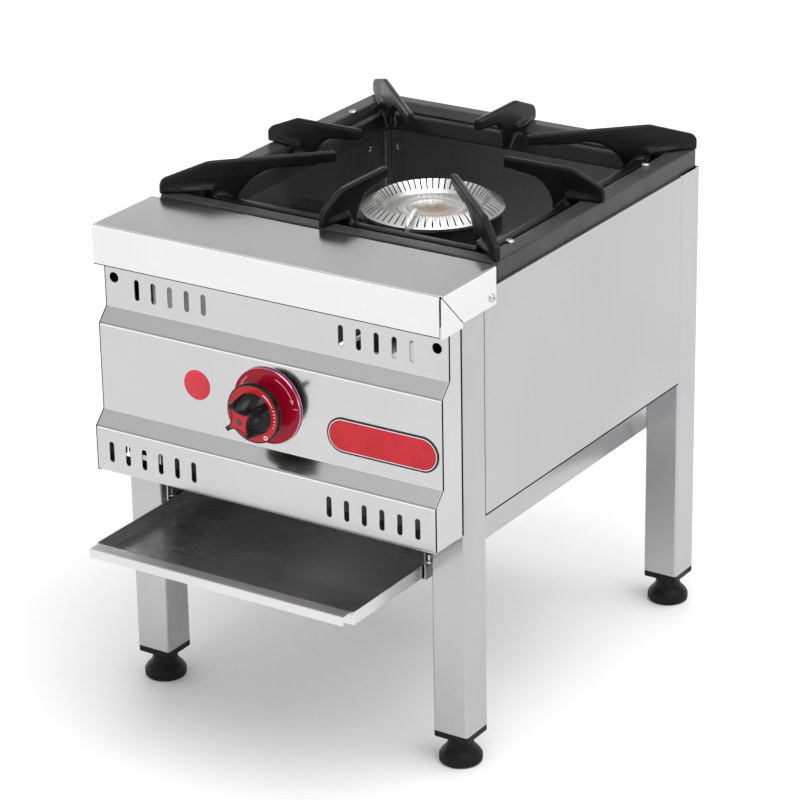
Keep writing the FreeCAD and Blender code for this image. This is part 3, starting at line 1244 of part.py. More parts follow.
def valve():
    """The gas valve behind the panel: body, lock nut, plunger and return spring."""
    x = "@dial_offset"
    z = "#knob_z"
    base = block("valve_block", (f"{x}-@valve_side/2", f"{x}+@valve_side/2"),
                 ("#valve_front", "#valve_back"), (f"{z}-@valve_height/2", f"{z}+@valve_height/2"))
    neck = cylinder("valve_neck", "@valve_neck_radius", "#valve_front-(#neck_front)",
                    (x, "#neck_front", z), "+Y")
    solids = [base, neck]
    bores = [
        cylinder("valve_stem_bore", "@stem_radius+@running_gap", "#chamber_front-(#neck_front)",
                 (x, "#neck_front", z), "+Y"),
        cylinder("valve_chamber", "@valve_chamber_radius", "@valve_chamber_length",
                 (x, "#chamber_front", z), "+Y"),
    ]
    for side, sx in SIDES:
        axis = "+X" if sx > 0 else "-X"
        length = "@valve_side/2+@port_length"
        radius = "@feed_radius" if sx > 0 else "@supply_radius"
        at = (x, "#valve_mid_y", z)
        solids.append(cylinder(f"valve_port_{side}", "@valve_port_radius", length, at, axis))
        bores.append(cylinder(f"valve_port_bore_{side}", f"{radius}-@pipe_wall", length, at, axis))
    node("gas_valve", cut("gas_valve", fuse("valve_solid", solids), bores))
    nuts = []
    for end, seat, axis in (("front", "#dial_front", "-Y"), ("rear", "#band_mid_y+@panel_sheet", "+Y")):
        nut = hexagon(f"valve_nut_{end}_hex", "@valve_nut_radius", "@valve_nut_height", (x, seat, z), axis)
        hole = cylinder(f"valve_nut_{end}_hole", "@valve_neck_radius+@running_gap", "@valve_nut_height",
                        (x, seat, z), axis)
        nuts.append(cut(f"valve_nut_{end}", nut, [hole]))
    node("valve_nuts", group("valve_nuts", nuts))
    head = "#chamber_front+@plunger_gap"
    plunger = [
        ("0", head), ("@plunger_radius", head), ("@plunger_radius", f"{head}+@plunger_height"),
        ("@plunger_pin_radius", f"{head}+@plunger_height"),
        ("@plunger_pin_radius", f"{head}+@plunger_height+@plunger_pin_length"),
        ("0", f"{head}+@plunger_height+@plunger_pin_length"),
    ]
    node("valve_plunger", turned("valve_plunger", plunger, (x, z), "XY_Plane"))


def return_spring():
    """The spring behind the plunger: a helix between the plunger and the chamber's end."""
    wire = size("spring_wire")
    gap = size("spring_gap")
    front = datum("chamber_front") + size("plunger_gap") + size("plunger_height") + wire + gap
    back = datum("chamber_back") - wire - gap
    length = back - front
    radius = size("spring_radius")
    helix = Part.makeLongHelix(length / size("spring_turns"), length, radius, 0)
    section = Part.Wire([Part.Circle(Vector(radius, 0, 0), Vector(0, 1, 0), wire).toShape()])
    coil = Part.Wire(helix.Edges).makePipeShell([section], True, True)
    coil.Placement = Placement(Vector(size("dial_offset"), front, datum("knob_z")), TURNS["+Y"])
    spring = feature("valve_spring", coil)
    node("valve_spring", spring)


def valve_stem():
    """The stem that carries the knob, with a flat along it."""
    x = "@dial_offset"
    length = "#chamber_front-(#stem_front)"
    rod = cylinder("stem_rod", "@stem_radius", length, (x, "#stem_front", "#knob_z"), "+Y")
    flat = block("stem_flat", (f"{x}+@stem_flat", f"{x}+@stem_radius+{OVERCUT}"),
                 ("#stem_front", "#neck_front-@stem_flat_gap"),
                 ("#knob_z-@stem_radius", "#knob_z+@stem_radius"))
    node("valve_stem", cut("valve_stem", rod, [flat]))


def star_face(scale_tip, scale_waist, width, y):
    """The knob's four-pointed outline with hollow sides, at one depth."""
    centre = Vector(size("dial_offset"), y, datum("knob_z"))
    corners = []
    for index in range(4):
        angle = math.radians(size("knob_turn") + 90 * index)
        out = Vector(math.cos(angle), 0, math.sin(angle))
        across = Vector(-math.sin(angle), 0, math.cos(angle))
        corners.append((centre + out * scale_tip - across * (width / 2),
                        centre + out * scale_tip + across * (width / 2)))
    edges = []
    for index in range(4):
        right, left = corners[index]
        following = corners[(index + 1) % 4][0]
        angle = math.radians(size("knob_turn") + 90 * index + 45)
        waist = centre + Vector(math.cos(angle), 0, math.sin(angle)) * scale_waist
        edges.append(Part.LineSegment(right, left).toShape())
        edges.append(Part.Arc(left, waist, following).toShape())
    return Part.Wire(edges)


def knob():
    """The knob: a round skirt and a star-shaped grip that spreads towards the skirt."""
    back = datum("skirt_back")
    front = datum("skirt_front")
    tip = datum("grip_front")
    axis = Vector(0, -1, 0)

    def disc(radius, start, length):
        base = Vector(size("dial_offset"), start, datum("knob_z"))
        return Part.makeCylinder(radius, length, base, axis)

    grip = Part.makeLoft([
        star_face(size("knob_grip_radius"), size("knob_foot_waist"), size("knob_foot_width"),
                  front + size("knob_ring")),
        star_face(size("knob_tip_radius"), size("knob_waist_radius"), size("knob_tip_width"), tip),
    ], True, True)
    skirt = disc(size("knob_skirt_radius"), back, size("knob_skirt"))
    hub = disc(size("knob_hub_radius"), back + size("knob_hub"), size("knob_hub"))
    bore = disc(size("stem_radius"), back + size("knob_hub"),
                back + size("knob_hub") - datum("stem_front"))
    stem = size("stem_radius")
    flat = Part.makeBox(stem, back + size("knob_hub") - tip, 2 * stem,
                        Vector(size("dial_offset") + size("stem_flat"), tip, datum("knob_z") - stem))
    ring = disc(size("knob_ring_radius"), front + size("knob_ring"), size("knob_ring"))
    solid = skirt.cut(ring).fuse([hub, grip])
    border = size("inlay_border")
    star = Part.Face(star_face(size("knob_tip_radius") - border, size("knob_waist_radius") - border / 2,
                               size("knob_tip_width") - border, tip))
    recess = star.extrude(Vector(0, size("inlay_depth"), 0))
    button = disc(size("button_radius"), tip + 2 * size("inlay_depth"), 2 * size("inlay_depth"))
    solid = solid.cut([bore.cut(flat), recess, button])
    node("knob", feature("knob", solid.removeSplitter()))
    node("knob_star", feature("knob_star", recess.cut(button)))
    node("knob_button", feature("knob_button", button))
    node("knob_ring", feature("knob_ring", ring.cut(grip)))


def pipes():
    """The supply pipe from the inlet to the valve and the feed pipe to the injector."""
    z = datum("knob_z")
    x = size("dial_offset")
    valve_y = datum("valve_mid_y")
    port = size("valve_side") / 2 + size("port_length")
    inlet_y = datum("leg_y") - size("sheet") - size("inlet_inside")
    supply = [
        Vector(-datum("inlet_x"), inlet_y, z),
        Vector(-datum("inlet_x"), valve_y, z),
        Vector(x - port, valve_y, z),
    ]
    wall = size("pipe_wall")
    shape = tube_shape(supply, [size("supply_bend")], size("supply_radius"), wall)
    node("supply_pipe", feature("supply_pipe", shape))
    holder_y = datum("holder_mid")
    bend = size("feed_bend")
    feed = [
        Vector(x + port, valve_y, z),
        Vector(size("feed_reach"), valve_y, z),
        Vector(size("feed_reach"), holder_y, z),
        Vector(size("holder_hex_radius") + size("port_length") / 2, holder_y, z),
    ]
    shape = tube_shape(feed, [bend, bend], size("feed_radius"), wall)
    node("feed_pipe", feature("feed_pipe", shape))


def pipe_nuts():
    """Nuts where the pipes meet the inlet, the valve and the injector holder."""
    port = "(@valve_side/2+@port_length)"
    spots = (
        ("inlet", "supply", ("-#inlet_x", "#leg_y-@sheet-@inlet_inside", "#knob_z"), "-Y"),
        ("valve_in", "supply", (f"@dial_offset-{port}", "#valve_mid_y", "#knob_z"), "-X"),
        ("valve_out", "feed", (f"@dial_offset+{port}", "#valve_mid_y", "#knob_z"), "+X"),
        ("holder", "feed", ("@holder_hex_radius+@port_length/2", "#holder_mid", "#knob_z"), "+X"),
    )
    nuts = []
    for name, pipe, at, axis in spots:
        hexa = hexagon(f"nut_{name}_hex", f"@{pipe}_nut_radius", "@nut_length", at, axis)
        hole = cylinder(f"nut_{name}_hole", f"@{pipe}_radius+@running_gap", "@nut_length", at, axis)
        nuts.append(cut(f"nut_{name}", hexa, [hole]))
    node("pipe_nuts", group("pipe_nuts", nuts))


def gas_inlet():
    """The threaded inlet through the rear panel, with its hexagon outside the sheet."""
    at = ("-#inlet_x", "#leg_y-@sheet-@inlet_inside", "#knob_z")
    length = "@inlet_inside+@sheet+@inlet_proud"
    thread = cylinder("inlet_thread", "@inlet_radius", length, at, "+Y")
    collar = hexagon("inlet_collar", "@inlet_flange_radius", "@inlet_flange",
                     ("-#inlet_x", "#leg_y", "#knob_z"), "+Y")
    lock = hexagon("inlet_lock", "@inlet_flange_radius", "@inlet_flange",
                   ("-#inlet_x", "#leg_y-@sheet", "#knob_z"), "-Y")
    bore = cylinder("inlet_bore", "@inlet_bore", length, at, "+Y")
    node("gas_inlet", cut("gas_inlet", fuse("inlet_solid", [thread, collar, lock]), [bore]))


def thermocouple():
    """The flame probe: over the crown, down beside the bowl and forward to the valve."""
    turn = math.radians(size("probe_angle"))
    centre = Vector(0, datum("hob_y"), 0)
    rim = datum("rim_z")
    crest = rim + size("crown_crest_rise")
    reach = size("probe_reach")

    def at(radius, height):
        return centre + Vector(radius * math.cos(turn), radius * math.sin(turn), height)

    inset = size("probe_inset")
    rise = size("probe_rise")
    low = datum("knob_z") + size("tube_radius") + size("probe_over_tube")
    foot_point = at(reach, low)
    valve_in = Vector(size("dial_offset") + size("probe_port_side"), datum("valve_back"),
                      datum("knob_z") + size("probe_port_rise"))
    points = [
        at(datum("floor_radius") - inset, rim + rise),
        at(datum("crest_radius") - inset, crest + rise),
        at(reach, crest - size("probe_radius") / 2),
        foot_point,
        Vector(foot_point.x, valve_in.y + size("probe_run"), low),
        Vector(valve_in.x, valve_in.y + size("probe_lead"), valve_in.z),
        valve_in,
    ]
    tight = size("probe_bend")
    bends = [tight, tight, 2 * tight, tight, tight]
    node("thermocouple", feature("thermocouple", tube_shape(points, bends, size("probe_radius"))))


def thermocouple_clip():
    """A small plate on the front burner rail with a hole for the thermocouple."""
    turn = math.radians(size("probe_angle"))
    x = size("probe_reach") * math.cos(turn)
    y = datum("hob_y") + size("probe_reach") * math.sin(turn)
    rail = datum("hob_y") - size("burner_rail_offset") - size("burner_rail_side") / 2
    half = size("clip_width") / 2
    sheet_z = datum("bowl_bottom") - size("clip_drop")
    thick = size("clip_sheet")
    tab_length = size("clip_tab")
    tab_z = sheet_z + thick - tab_length
    plate = Part.makeBox(2 * half, rail - y + half, thick, Vector(x - half, y - half, sheet_z))
    tab = Part.makeBox(2 * half, thick, tab_length, Vector(x - half, rail - thick, tab_z))
    hole = Part.makeCylinder(size("probe_radius") + size("clip_gap"), tab_length, Vector(x, y, tab_z))
    node("thermocouple_clip", feature("thermocouple_clip", plate.fuse(tab).cut(hole)))


# ---------------------------------------------------------------- pan support

ARCH_START = 0.45  # from a finger's inner end to its frame: where the arch starts
ARCH_DEEPEST = 0.86  # and where the arch is deepest
ROUND_BULGE = 0.45  # from the chord of the rounded shoulder to its corner


def arc_through(first, middle, last):
    return Part.Arc(first, middle, last).toShape()


def finger_blade(out, peak, tip, inner, outer):
    """A finger's side view, from the arch above the frame to its blunt inner end."""
    top = datum("hob_top") + size("grate_rise")
    rest = datum("hob_top") + size("grate_rest")
    base = datum("grate_bottom")
    shoulder = datum("hob_top") + size("finger_end_rise")
    tip_low = top - size("finger_tip_height")
    round_off = size("finger_round")

    def at(radius, height):
        return Vector(radius, 0, height)

    corner = at(out, shoulder)
    slope = (at(peak, top) - corner).normalize()
    before = corner - Vector(0, 0, round_off)
    after = corner + slope * round_off
    chord_middle = (before + after) * 0.5
    bulge = chord_middle + (corner - chord_middle) * ROUND_BULGE
    span = inner - tip
    arch_start = at(tip + ARCH_START * span, tip_low - size("arch_drop"))
    arch_mid = at(tip + ARCH_DEEPEST * span, tip_low - size("arch_depth"))
    arch_end = at(inner, base + size("grate_frame_height") / 2)
    edges = [
        Part.LineSegment(at(inner, base), at(outer, base)).toShape(),
        Part.LineSegment(at(outer, base), at(outer, rest)).toShape(),
        Part.LineSegment(at(outer, rest), at(out, rest)).toShape(),
        Part.LineSegment(at(out, rest), before).toShape(),
        arc_through(before, bulge, after),
        Part.LineSegment(after, at(peak, top)).toShape(),
        Part.LineSegment(at(peak, top), at(tip, top)).toShape(),
        Part.LineSegment(at(tip, top), at(tip, tip_low)).toShape(),
        Part.LineSegment(at(tip, tip_low), arch_start).toShape(),
        arc_through(arch_start, arch_mid, arch_end),
        Part.LineSegment(arch_end, at(inner, base)).toShape(),
    ]
    thickness = size("finger_thickness")
    face = Part.Face(Part.Wire(edges))
    blade = face.extrude(Vector(0, thickness, 0))
    blade.translate(Vector(0, -thickness / 2, 0))
    return blade


def finger_foot(out, outer):
    """The wider foot along a finger's lower edge, which narrows towards the outer end."""
    rest = datum("hob_top") + size("grate_rest")
    wide = size("finger_foot_width") / 2
    narrow = size("finger_thickness") / 2
    start = outer - size("finger_post")
    taper = outer + size("finger_foot_taper")
    end = out - size("finger_foot_short")
    corners = [
        Vector(start, -wide, rest), Vector(taper, -wide, rest), Vector(end, -narrow, rest),
        Vector(end, narrow, rest), Vector(taper, wide, rest), Vector(start, wide, rest),
    ]
    face = Part.Face(Part.makePolygon(corners + [corners[0]]))
    plate = face.extrude(Vector(0, 0, size("finger_foot_height")))
    low = datum("grate_bottom") + size("grate_frame_height") - size("finger_post_sink")
    post = Part.makeBox(size("finger_post"), 2 * wide, rest - low + size("finger_foot_height"),
                        Vector(start, -wide, low))
    return plate.fuse(post)


def pan_support():
    """The cast grate: a square frame in the hob's opening and eight arched fingers."""
    half_x = datum("grate_x")
    half_y = datum("grate_y")
    bar = size("grate_bar")
    base = datum("grate_bottom")
    height = size("grate_frame_height")

    def rectangle(inset, z):
        x = half_x - inset
        y = half_y - inset
        return Part.makePolygon([Vector(-x, -y, z), Vector(x, -y, z), Vector(x, y, z), Vector(-x, y, z),
                                 Vector(-x, -y, z)])

    frame = Part.makeBox(2 * half_x, 2 * half_y, height, Vector(-half_x, -half_y, base))
    upper = rectangle(bar - size("grate_slope"), base + height)
    frame = frame.cut(Part.makeLoft([rectangle(bar, base), upper], True, True))
    burner = size("crown_radius")

    def finger(kind, half, inner, setback, foot_setback):
        out = half + size(f"{kind}_finger_reach")
        peak = half - size(f"{kind}_finger_peak")
        tip = burner + size(f"{kind}_finger_tip")
        blade = finger_blade(out, peak, tip, inner, half - setback)
        return blade.fuse(finger_foot(out, half - foot_setback))

    diagonal = math.hypot(half_x, half_y)
    across = finger("side", half_x, half_x - bar, 0, 0)
    along = finger("side", half_y, half_y - bar, 0, 0)
    corner = finger("corner", diagonal, math.hypot(half_x - bar, half_y - bar),
                    size("corner_setback"), size("corner_foot_setback"))
    slant = math.degrees(math.atan2(half_y, half_x))
    turns = [(across, 0), (corner, slant), (along, 90), (corner, 180 - slant),
             (across, 180), (corner, 180 + slant), (along, 270), (corner, -slant)]
    fingers = []
    for shape, angle in turns:
        turned_finger = shape.copy()
        turned_finger.rotate(Vector(), Vector(0, 0, 1), angle)
        fingers.append(turned_finger)
    shape = frame.fuse(fingers).removeSplitter()
    grate = feature("pan_support", shape)
    grate.Placement = Placement(Vector(0, datum("hob_y"), 0), Rotation())
    node("pan_support", grate)


# ---------------------------------------------------------------- build everything

for corner, sx, sy in CORNERS:
    leg(corner, sx, sy)
    leg_cap(corner, sx, sy)
    foot(corner, sx, sy)
hob_plate()
apron()
control_panel()
dial_and_badges()
for side, sx in SIDES:
    side_panel(side, sx)
    tray_runner(side, sx)
rear_panel()
body_screws()
front_rail()
for end, sy in ENDS:
    burner_rail(end, sy)
drip_tray()
runner_screws()
burner_crown()
burner_dish()
burner_bowl()
burner_bolts()
mixing_tube()
air_shutter()
injector()
valve()
return_spring()
valve_stem()
knob()
pipes()
pipe_nuts()
gas_inlet()
thermocouple()
thermocouple_clip()
pan_support()
doc.recompute()

# the origin: the middle of the whole range on the floor
whole = FreeCAD.BoundBox()
for part in nodes:
    whole.add(part.Shape.BoundBox)
to_origin = Vector(-whole.Center.x, -whole.Center.y, -whole.ZMin)
for part in nodes:
    part.Placement = Placement(to_origin, Rotation()).multiply(part.Placement)
doc.recompute()

faults = []
for item in doc.Objects:
    if "Invalid" in item.State or "Error" in item.State:
        faults.append(f"{item.Label}: {item.State}")
for part in nodes:
    if part.Shape.isNull() or not part.Shape.isValid() or not part.Shape.Solids:
        faults.append(f"{part.Label}: no valid solid")
if faults:
    raise RuntimeError("\n".join(faults))

os.makedirs("parts", exist_ok=True)
for part in nodes:
    part.Shape.exportStep(f"parts/{part.Label}.step")
print(len(nodes), "sub-parts, shifted by", to_origin)
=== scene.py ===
# Stock pot range: the finishes and fine shapes over the CAD frame, in metres.
import math

import bmesh
import bpy
from mathutils import Matrix, Vector


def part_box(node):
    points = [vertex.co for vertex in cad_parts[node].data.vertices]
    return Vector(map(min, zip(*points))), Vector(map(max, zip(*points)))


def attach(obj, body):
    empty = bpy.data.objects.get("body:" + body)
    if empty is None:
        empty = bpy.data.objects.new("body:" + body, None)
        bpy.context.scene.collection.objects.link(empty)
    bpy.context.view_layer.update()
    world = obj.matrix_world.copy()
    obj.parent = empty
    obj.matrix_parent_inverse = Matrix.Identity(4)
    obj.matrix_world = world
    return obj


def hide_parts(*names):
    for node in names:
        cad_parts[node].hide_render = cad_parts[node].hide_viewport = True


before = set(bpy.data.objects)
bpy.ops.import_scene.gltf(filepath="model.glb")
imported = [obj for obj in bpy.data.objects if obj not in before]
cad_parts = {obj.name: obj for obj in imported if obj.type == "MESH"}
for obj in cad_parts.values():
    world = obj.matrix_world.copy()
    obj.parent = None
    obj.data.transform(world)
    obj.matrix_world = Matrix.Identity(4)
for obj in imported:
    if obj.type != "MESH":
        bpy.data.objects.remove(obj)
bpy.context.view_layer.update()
MM = 0.001

# ---------------------------------------------------------------- legs
# Four lengths of square stainless tube with rounded edges and a fine lengthwise grain.
# The panels are screwed to their inner faces, and each lower end takes a plastic cap.
CORNERS = ("front_left", "front_right", "rear_left", "rear_right")
LEG_EDGE_RADIUS, LEG_EDGE_STEPS = 3.0 * MM, 5
LEG_WALL = 1.5 * MM
GRAIN_LENGTH = 4.0  # noise cells a metre along the grain
GRAIN_FINENESS = 1600.0  # noise cells a metre across it
GRAIN_DEPTH = 0.2 * MM
MIX_A, MIX_B, MIX_OUT = 6, 7, 2  # the Mix node's colour sockets, which share their names


def add(tree, kind, sockets=None, **settings):
    """A shader node with its settings, and with its sockets set or linked."""
    item = tree.nodes.new(kind)
    for key, value in settings.items():
        setattr(item, key, value)
    for socket, value in (sockets or {}).items():
        if isinstance(value, bpy.types.NodeSocket):
            tree.links.new(value, item.inputs[socket])
        else:
            item.inputs[socket].default_value = value
    return item


def effect(name, inputs, outputs):
    """An empty shader node group with named number or vector sockets."""
    tree = bpy.data.node_groups.new(name, "ShaderNodeTree")
    for label, kind, value in inputs:
        socket = tree.interface.new_socket(label, in_out="INPUT", socket_type=f"NodeSocket{kind}")
        if value is not None:
            socket.default_value = value
    for label in outputs:
        tree.interface.new_socket(label, in_out="OUTPUT", socket_type="NodeSocketFloat")
    source = tree.nodes.new("NodeGroupInput")
    target = tree.nodes.new("NodeGroupOutput")
    return tree, source.outputs, target.inputs


def place_effect(tree, group, sockets):
    """A shared effect placed in a material, with its own values."""
    return add(tree, "ShaderNodeGroup", sockets, node_tree=group).outputs


def spread(tree, noise, start, end, given, **settings):
    """Stretches the middle of a noise between the two values that an effect is given."""
    ends = {"From Min": start, "From Max": end, "To Min": given["Low"], "To Max": given["High"]}
    return add(tree, "ShaderNodeMapRange", {"Value": noise, **ends}, **settings).outputs["Result"]


def make_grain():
    """Rolled or brushed grain: noise drawn out along one axis by the vector it is given."""
    tree, given, result = effect("grain", [("Vector", "Vector", None), ("Low", "Float", 0.2),
                                           ("High", "Float", 0.3)], ["Value", "Height"])
    streaks = add(tree, "ShaderNodeTexNoise", {"Vector": given["Vector"], "Scale": 1.0,
                                               "Detail": 4.0, "Roughness": 0.65}).outputs["Fac"]
    tree.links.new(spread(tree, streaks, 0.3, 0.7, given), result["Value"])
    tree.links.new(streaks, result["Height"])
    return tree


def make_clouds():
    """Slow uneven patches, such as handling marks, thin soot or rolled-in variation."""
    tree, given, result = effect("clouds", [("Scale", "Float", 8.0), ("Low", "Float", 0.9),
                                            ("High", "Float", 1.1)], ["Value"])
    where = add(tree, "ShaderNodeTexCoord").outputs["Object"]
    patches = add(tree, "ShaderNodeTexNoise", {"Vector": where, "Scale": given["Scale"],
                                               "Detail": 5.0, "Roughness": 0.6,
                                               "Distortion": 0.6}).outputs["Fac"]
    smooth = spread(tree, patches, 0.35, 0.65, given, interpolation_type="SMOOTHSTEP")
    tree.links.new(smooth, result["Value"])
    return tree


GRAIN = make_grain()
CLOUDS = make_clouds()


def new_material(name, shine=0.5, **finish):
    """A material, its node tree and its shader's sockets, with the plain values set on them."""
    material = bpy.data.materials.new(name)
    material.use_nodes = True
    shader = material.node_tree.nodes["Principled BSDF"].inputs
    shader["Specular IOR Level"].default_value = shine
    for socket, value in finish.items():
        shader[socket.replace("_", " ").title()].default_value = value
    return material, material.node_tree, shader


def patchy_colour(tree, shader, colour, scale, low, high):
    """The base colour, darker and lighter in slow patches."""
    shade = place_effect(tree, CLOUDS, {"Scale": scale, "Low": low, "High": high})["Value"]
    grey = add(tree, "ShaderNodeCombineColor", {"Red": shade, "Green": shade, "Blue": shade})
    mixed = add(tree, "ShaderNodeMix", {"Factor": 1.0, MIX_A: (*colour, 1.0),
                                        MIX_B: grey.outputs["Color"]},
                data_type="RGBA", blend_type="MULTIPLY")
    tree.links.new(mixed.outputs[MIX_OUT], shader["Base Color"])


def patchy_gloss(tree, shader, scale, smoothest, roughest):
    """The roughness, smoother and rougher in slow patches."""
    gloss = place_effect(tree, CLOUDS, {"Scale": scale, "Low": smoothest, "High": roughest})
    tree.links.new(gloss["Value"], shader["Roughness"])


def relief_of(tree, shader, height, strength, depth):
    """The small rises and hollows of a skin."""
    bump = add(tree, "ShaderNodeBump", {"Height": height, "Strength": strength,
                                        "Distance": depth})
    tree.links.new(bump.outputs["Normal"], shader["Normal"])


def fine_noise(tree, scale, detail=2.0, roughness=0.5):
    """Noise fixed to the piece."""
    where = add(tree, "ShaderNodeTexCoord").outputs["Object"]
    return add(tree, "ShaderNodeTexNoise", {"Vector": where, "Scale": scale, "Detail": detail,
                                            "Roughness": roughness}).outputs["Fac"]


def sheet_steel(name, colour, smoothest, roughest, along="Z", relief=0.03):
    """Satin stainless steel with its grain along one axis."""
    material, tree, shader = new_material(name, metallic=1.0)
    where = add(tree, "ShaderNodeTexCoord").outputs["Object"]
    scale = [GRAIN_LENGTH if axis == along else GRAIN_FINENESS for axis in "XYZ"]
    drawn = add(tree, "ShaderNodeMapping", {"Vector": where, "Scale": scale}).outputs["Vector"]
    grain = place_effect(tree, GRAIN, {"Vector": drawn, "Low": smoothest, "High": roughest})
    patches = place_effect(tree, CLOUDS, {"Scale": 6.0, "Low": 0.88, "High": 1.12})
    rough = add(tree, "ShaderNodeMath", {0: grain["Value"], 1: patches["Value"]},
                operation="MULTIPLY")
    tree.links.new(rough.outputs["Value"], shader["Roughness"])
    patchy_colour(tree, shader, colour, 3.0, 0.96, 1.02)
    relief_of(tree, shader, grain["Height"], relief, GRAIN_DEPTH)
    return material


def block(low, high):
    """A box between two corners."""
    mesh = bmesh.new()
    bmesh.ops.create_cube(mesh, size=1.0)
    bmesh.ops.scale(mesh, vec=Vector(high) - Vector(low), verts=mesh.verts)
    bmesh.ops.translate(mesh, vec=(Vector(high) + Vector(low)) / 2, verts=mesh.verts)
    return mesh


def facing(mesh, *ways):
    """The faces that look one of some ways."""
    return [face for face in mesh.faces if any(face.normal.dot(Vector(way)) > 0.9 for way in ways)]


def along_axis(mesh, axis):
    """The edges that run along one axis."""
    runs = [(edge, edge.verts[1].co - edge.verts[0].co) for edge in mesh.edges]
    return [edge for edge, run in runs if abs(run[axis]) > 0.999 * run.length]


def round_off(mesh, edges, radius, segments):
    """Rounds some edges of a mesh to a radius."""
    bmesh.ops.bevel(mesh, geom=list(edges), offset=radius, offset_type="OFFSET",
                    segments=segments, profile=0.5, affect="EDGES", clamp_overlap=True,
                    material=-1)


def piece(name, mesh, material, body, slot, *stands_for, smooth=35.0):
    """Turns a bmesh into a finished piece that rides on a body."""
    data = bpy.data.meshes.new(name)
    mesh.to_mesh(data)
    mesh.free()
    data.shade_smooth()
    data.set_sharp_from_angle(angle=math.radians(smooth))
    thing = bpy.data.objects.new(name, data)
    bpy.context.scene.collection.objects.link(thing)
    data.materials.append(material)
    if stands_for:
        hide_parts(*stands_for)
    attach(thing, body)
    return thing


def even_normals(thing):
    """Keeps the flat faces beside rounded edges flat in their shading."""
    weighted = thing.modifiers.new("even_normals", "WEIGHTED_NORMAL")
    weighted.keep_sharp = True
    weighted.weight = 100
    return thing


leg_steel = sheet_steel("leg_steel", (0.465, 0.465, 0.47), 0.17, 0.27)
for corner in CORNERS:
    tube = block(*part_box(f"leg_{corner}"))
    bmesh.ops.delete(tube, geom=facing(tube, (0, 0, 1), (0, 0, -1)), context="FACES")
    round_off(tube, along_axis(tube, 2), LEG_EDGE_RADIUS, LEG_EDGE_STEPS)
    leg = piece(f"tube_leg_{corner}", tube, leg_steel, "frame", "stainless", f"leg_{corner}")
    wall = leg.modifiers.new("wall", "SOLIDIFY")
    wall.thickness = LEG_WALL
    wall.offset = -1.0
    even_normals(leg)

# ---------------------------------------------------------------- leg caps and feet
# Black moulded plastic: a square cap closes each leg, and a foot screws out of it.
# The foot is a domed disc with a knurled rim for the fingers, on a round neck.
CAP_EDGE = 0.8 * MM
KNURL_STEPS, KNURL_EVERY = 96, 3
KNURL_DEPTH = 0.7 * MM
FOOT_RIM_LOW, FOOT_RIM_HIGH = 1.8, 8.0
# share of the radius and millimetres up, then shares of the radius and the height
FOOT_RIM = ((0.0, 0.0), (0.86, 0.0), (0.93, 0.3), (0.985, FOOT_RIM_LOW), (1.0, 2.4),
            (1.0, FOOT_RIM_HIGH), (0.975, 8.8))
FOOT_FLARE = ((0.93, 0.35), (0.86, 0.42), (0.77, 0.48), (0.69, 0.55), (0.635, 0.62),
              (0.605, 0.69), (0.592, 0.77), (0.592, 1.0), (0.25, 1.0))
WELD = 0.005 * MM  # points closer than this are one point


def moulded_black(name, colour, smoothest, roughest, shine, pits=700.0, relief=0.12):
    """Black plastic or paint with a fine uneven skin."""
    material, tree, shader = new_material(name, shine)
    patchy_gloss(tree, shader, 25.0, smoothest, roughest)
    patchy_colour(tree, shader, colour, 12.0, 0.85, 1.25)
    relief_of(tree, shader, fine_noise(tree, pits, 3.0), relief, 0.3 * MM)
    return material


def sharp_edges(mesh, angle):
    """The edges where two faces meet at more than an angle in degrees."""
    return [edge for edge in mesh.edges
            if len(edge.link_faces) == 2 and edge.calc_face_angle(0) > math.radians(angle)]


def spun(profile, centre, steps, axis="Z"):
    """A turned shape from (radius, place along the axis) points, round an axis."""
    mesh = bmesh.new()
    turn_axis = Vector((0, 0, 1)) if axis == "Z" else Vector((0, -1, 0))
    verts = []
    for radius, along in profile:
        spot = Vector((radius, 0, along)) if axis == "Z" else Vector((radius, along, 0))
        verts.append(mesh.verts.new(Vector(centre) + spot))
    edges = [mesh.edges.new(pair) for pair in zip(verts, verts[1:])]
    bmesh.ops.spin(mesh, geom=verts + edges, cent=centre, axis=turn_axis, angle=math.tau,
                   steps=steps, use_merge=True, use_duplicate=False)
    bmesh.ops.remove_doubles(mesh, verts=mesh.verts, dist=WELD)
    bmesh.ops.recalc_face_normals(mesh, faces=mesh.faces)
    return mesh


foot_plastic = moulded_black("foot_plastic", (0.005, 0.005, 0.005), 0.38, 0.55, shine=0.15)
for corner in CORNERS:
    low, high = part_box(f"leg_cap_{corner}")
    leg_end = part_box(f"leg_{corner}")[0].z
    cap = block(low, (high.x, high.y, leg_end))
    round_off(cap, along_axis(cap, 2), LEG_EDGE_RADIUS, LEG_EDGE_STEPS)
    round_off(cap, sharp_edges(cap, 60.0), CAP_EDGE, 2)
    even_normals(piece(f"end_cap_{corner}", cap, foot_plastic, "frame", "black_plastic",
                       f"leg_cap_{corner}"))

    low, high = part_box(f"foot_base_{corner}")
    radius = (high.x - low.x) / 2
    centre = Vector(((low.x + high.x) / 2, (low.y + high.y) / 2, low.z))
    profile = [(share * radius, rise * MM) for share, rise in FOOT_RIM]
    profile += [(share * radius, rise * (high.z - low.z)) for share, rise in FOOT_FLARE]
    foot = spun(profile, centre, KNURL_STEPS)
    for vert in foot.verts:
        if FOOT_RIM_LOW * MM < vert.co.z - centre.z < (FOOT_RIM_HIGH + 0.1) * MM:
            out = Vector((vert.co.x - centre.x, vert.co.y - centre.y, 0))
            step = round(math.atan2(out.y, out.x) / math.tau * KNURL_STEPS)
            if step % KNURL_EVERY == 0:
                vert.co -= out.normalized() * KNURL_DEPTH
    piece(f"levelling_foot_{corner}", foot, foot_plastic, f"foot_base_{corner}", "black_plastic",
          f"foot_base_{corner}", smooth=28.0)

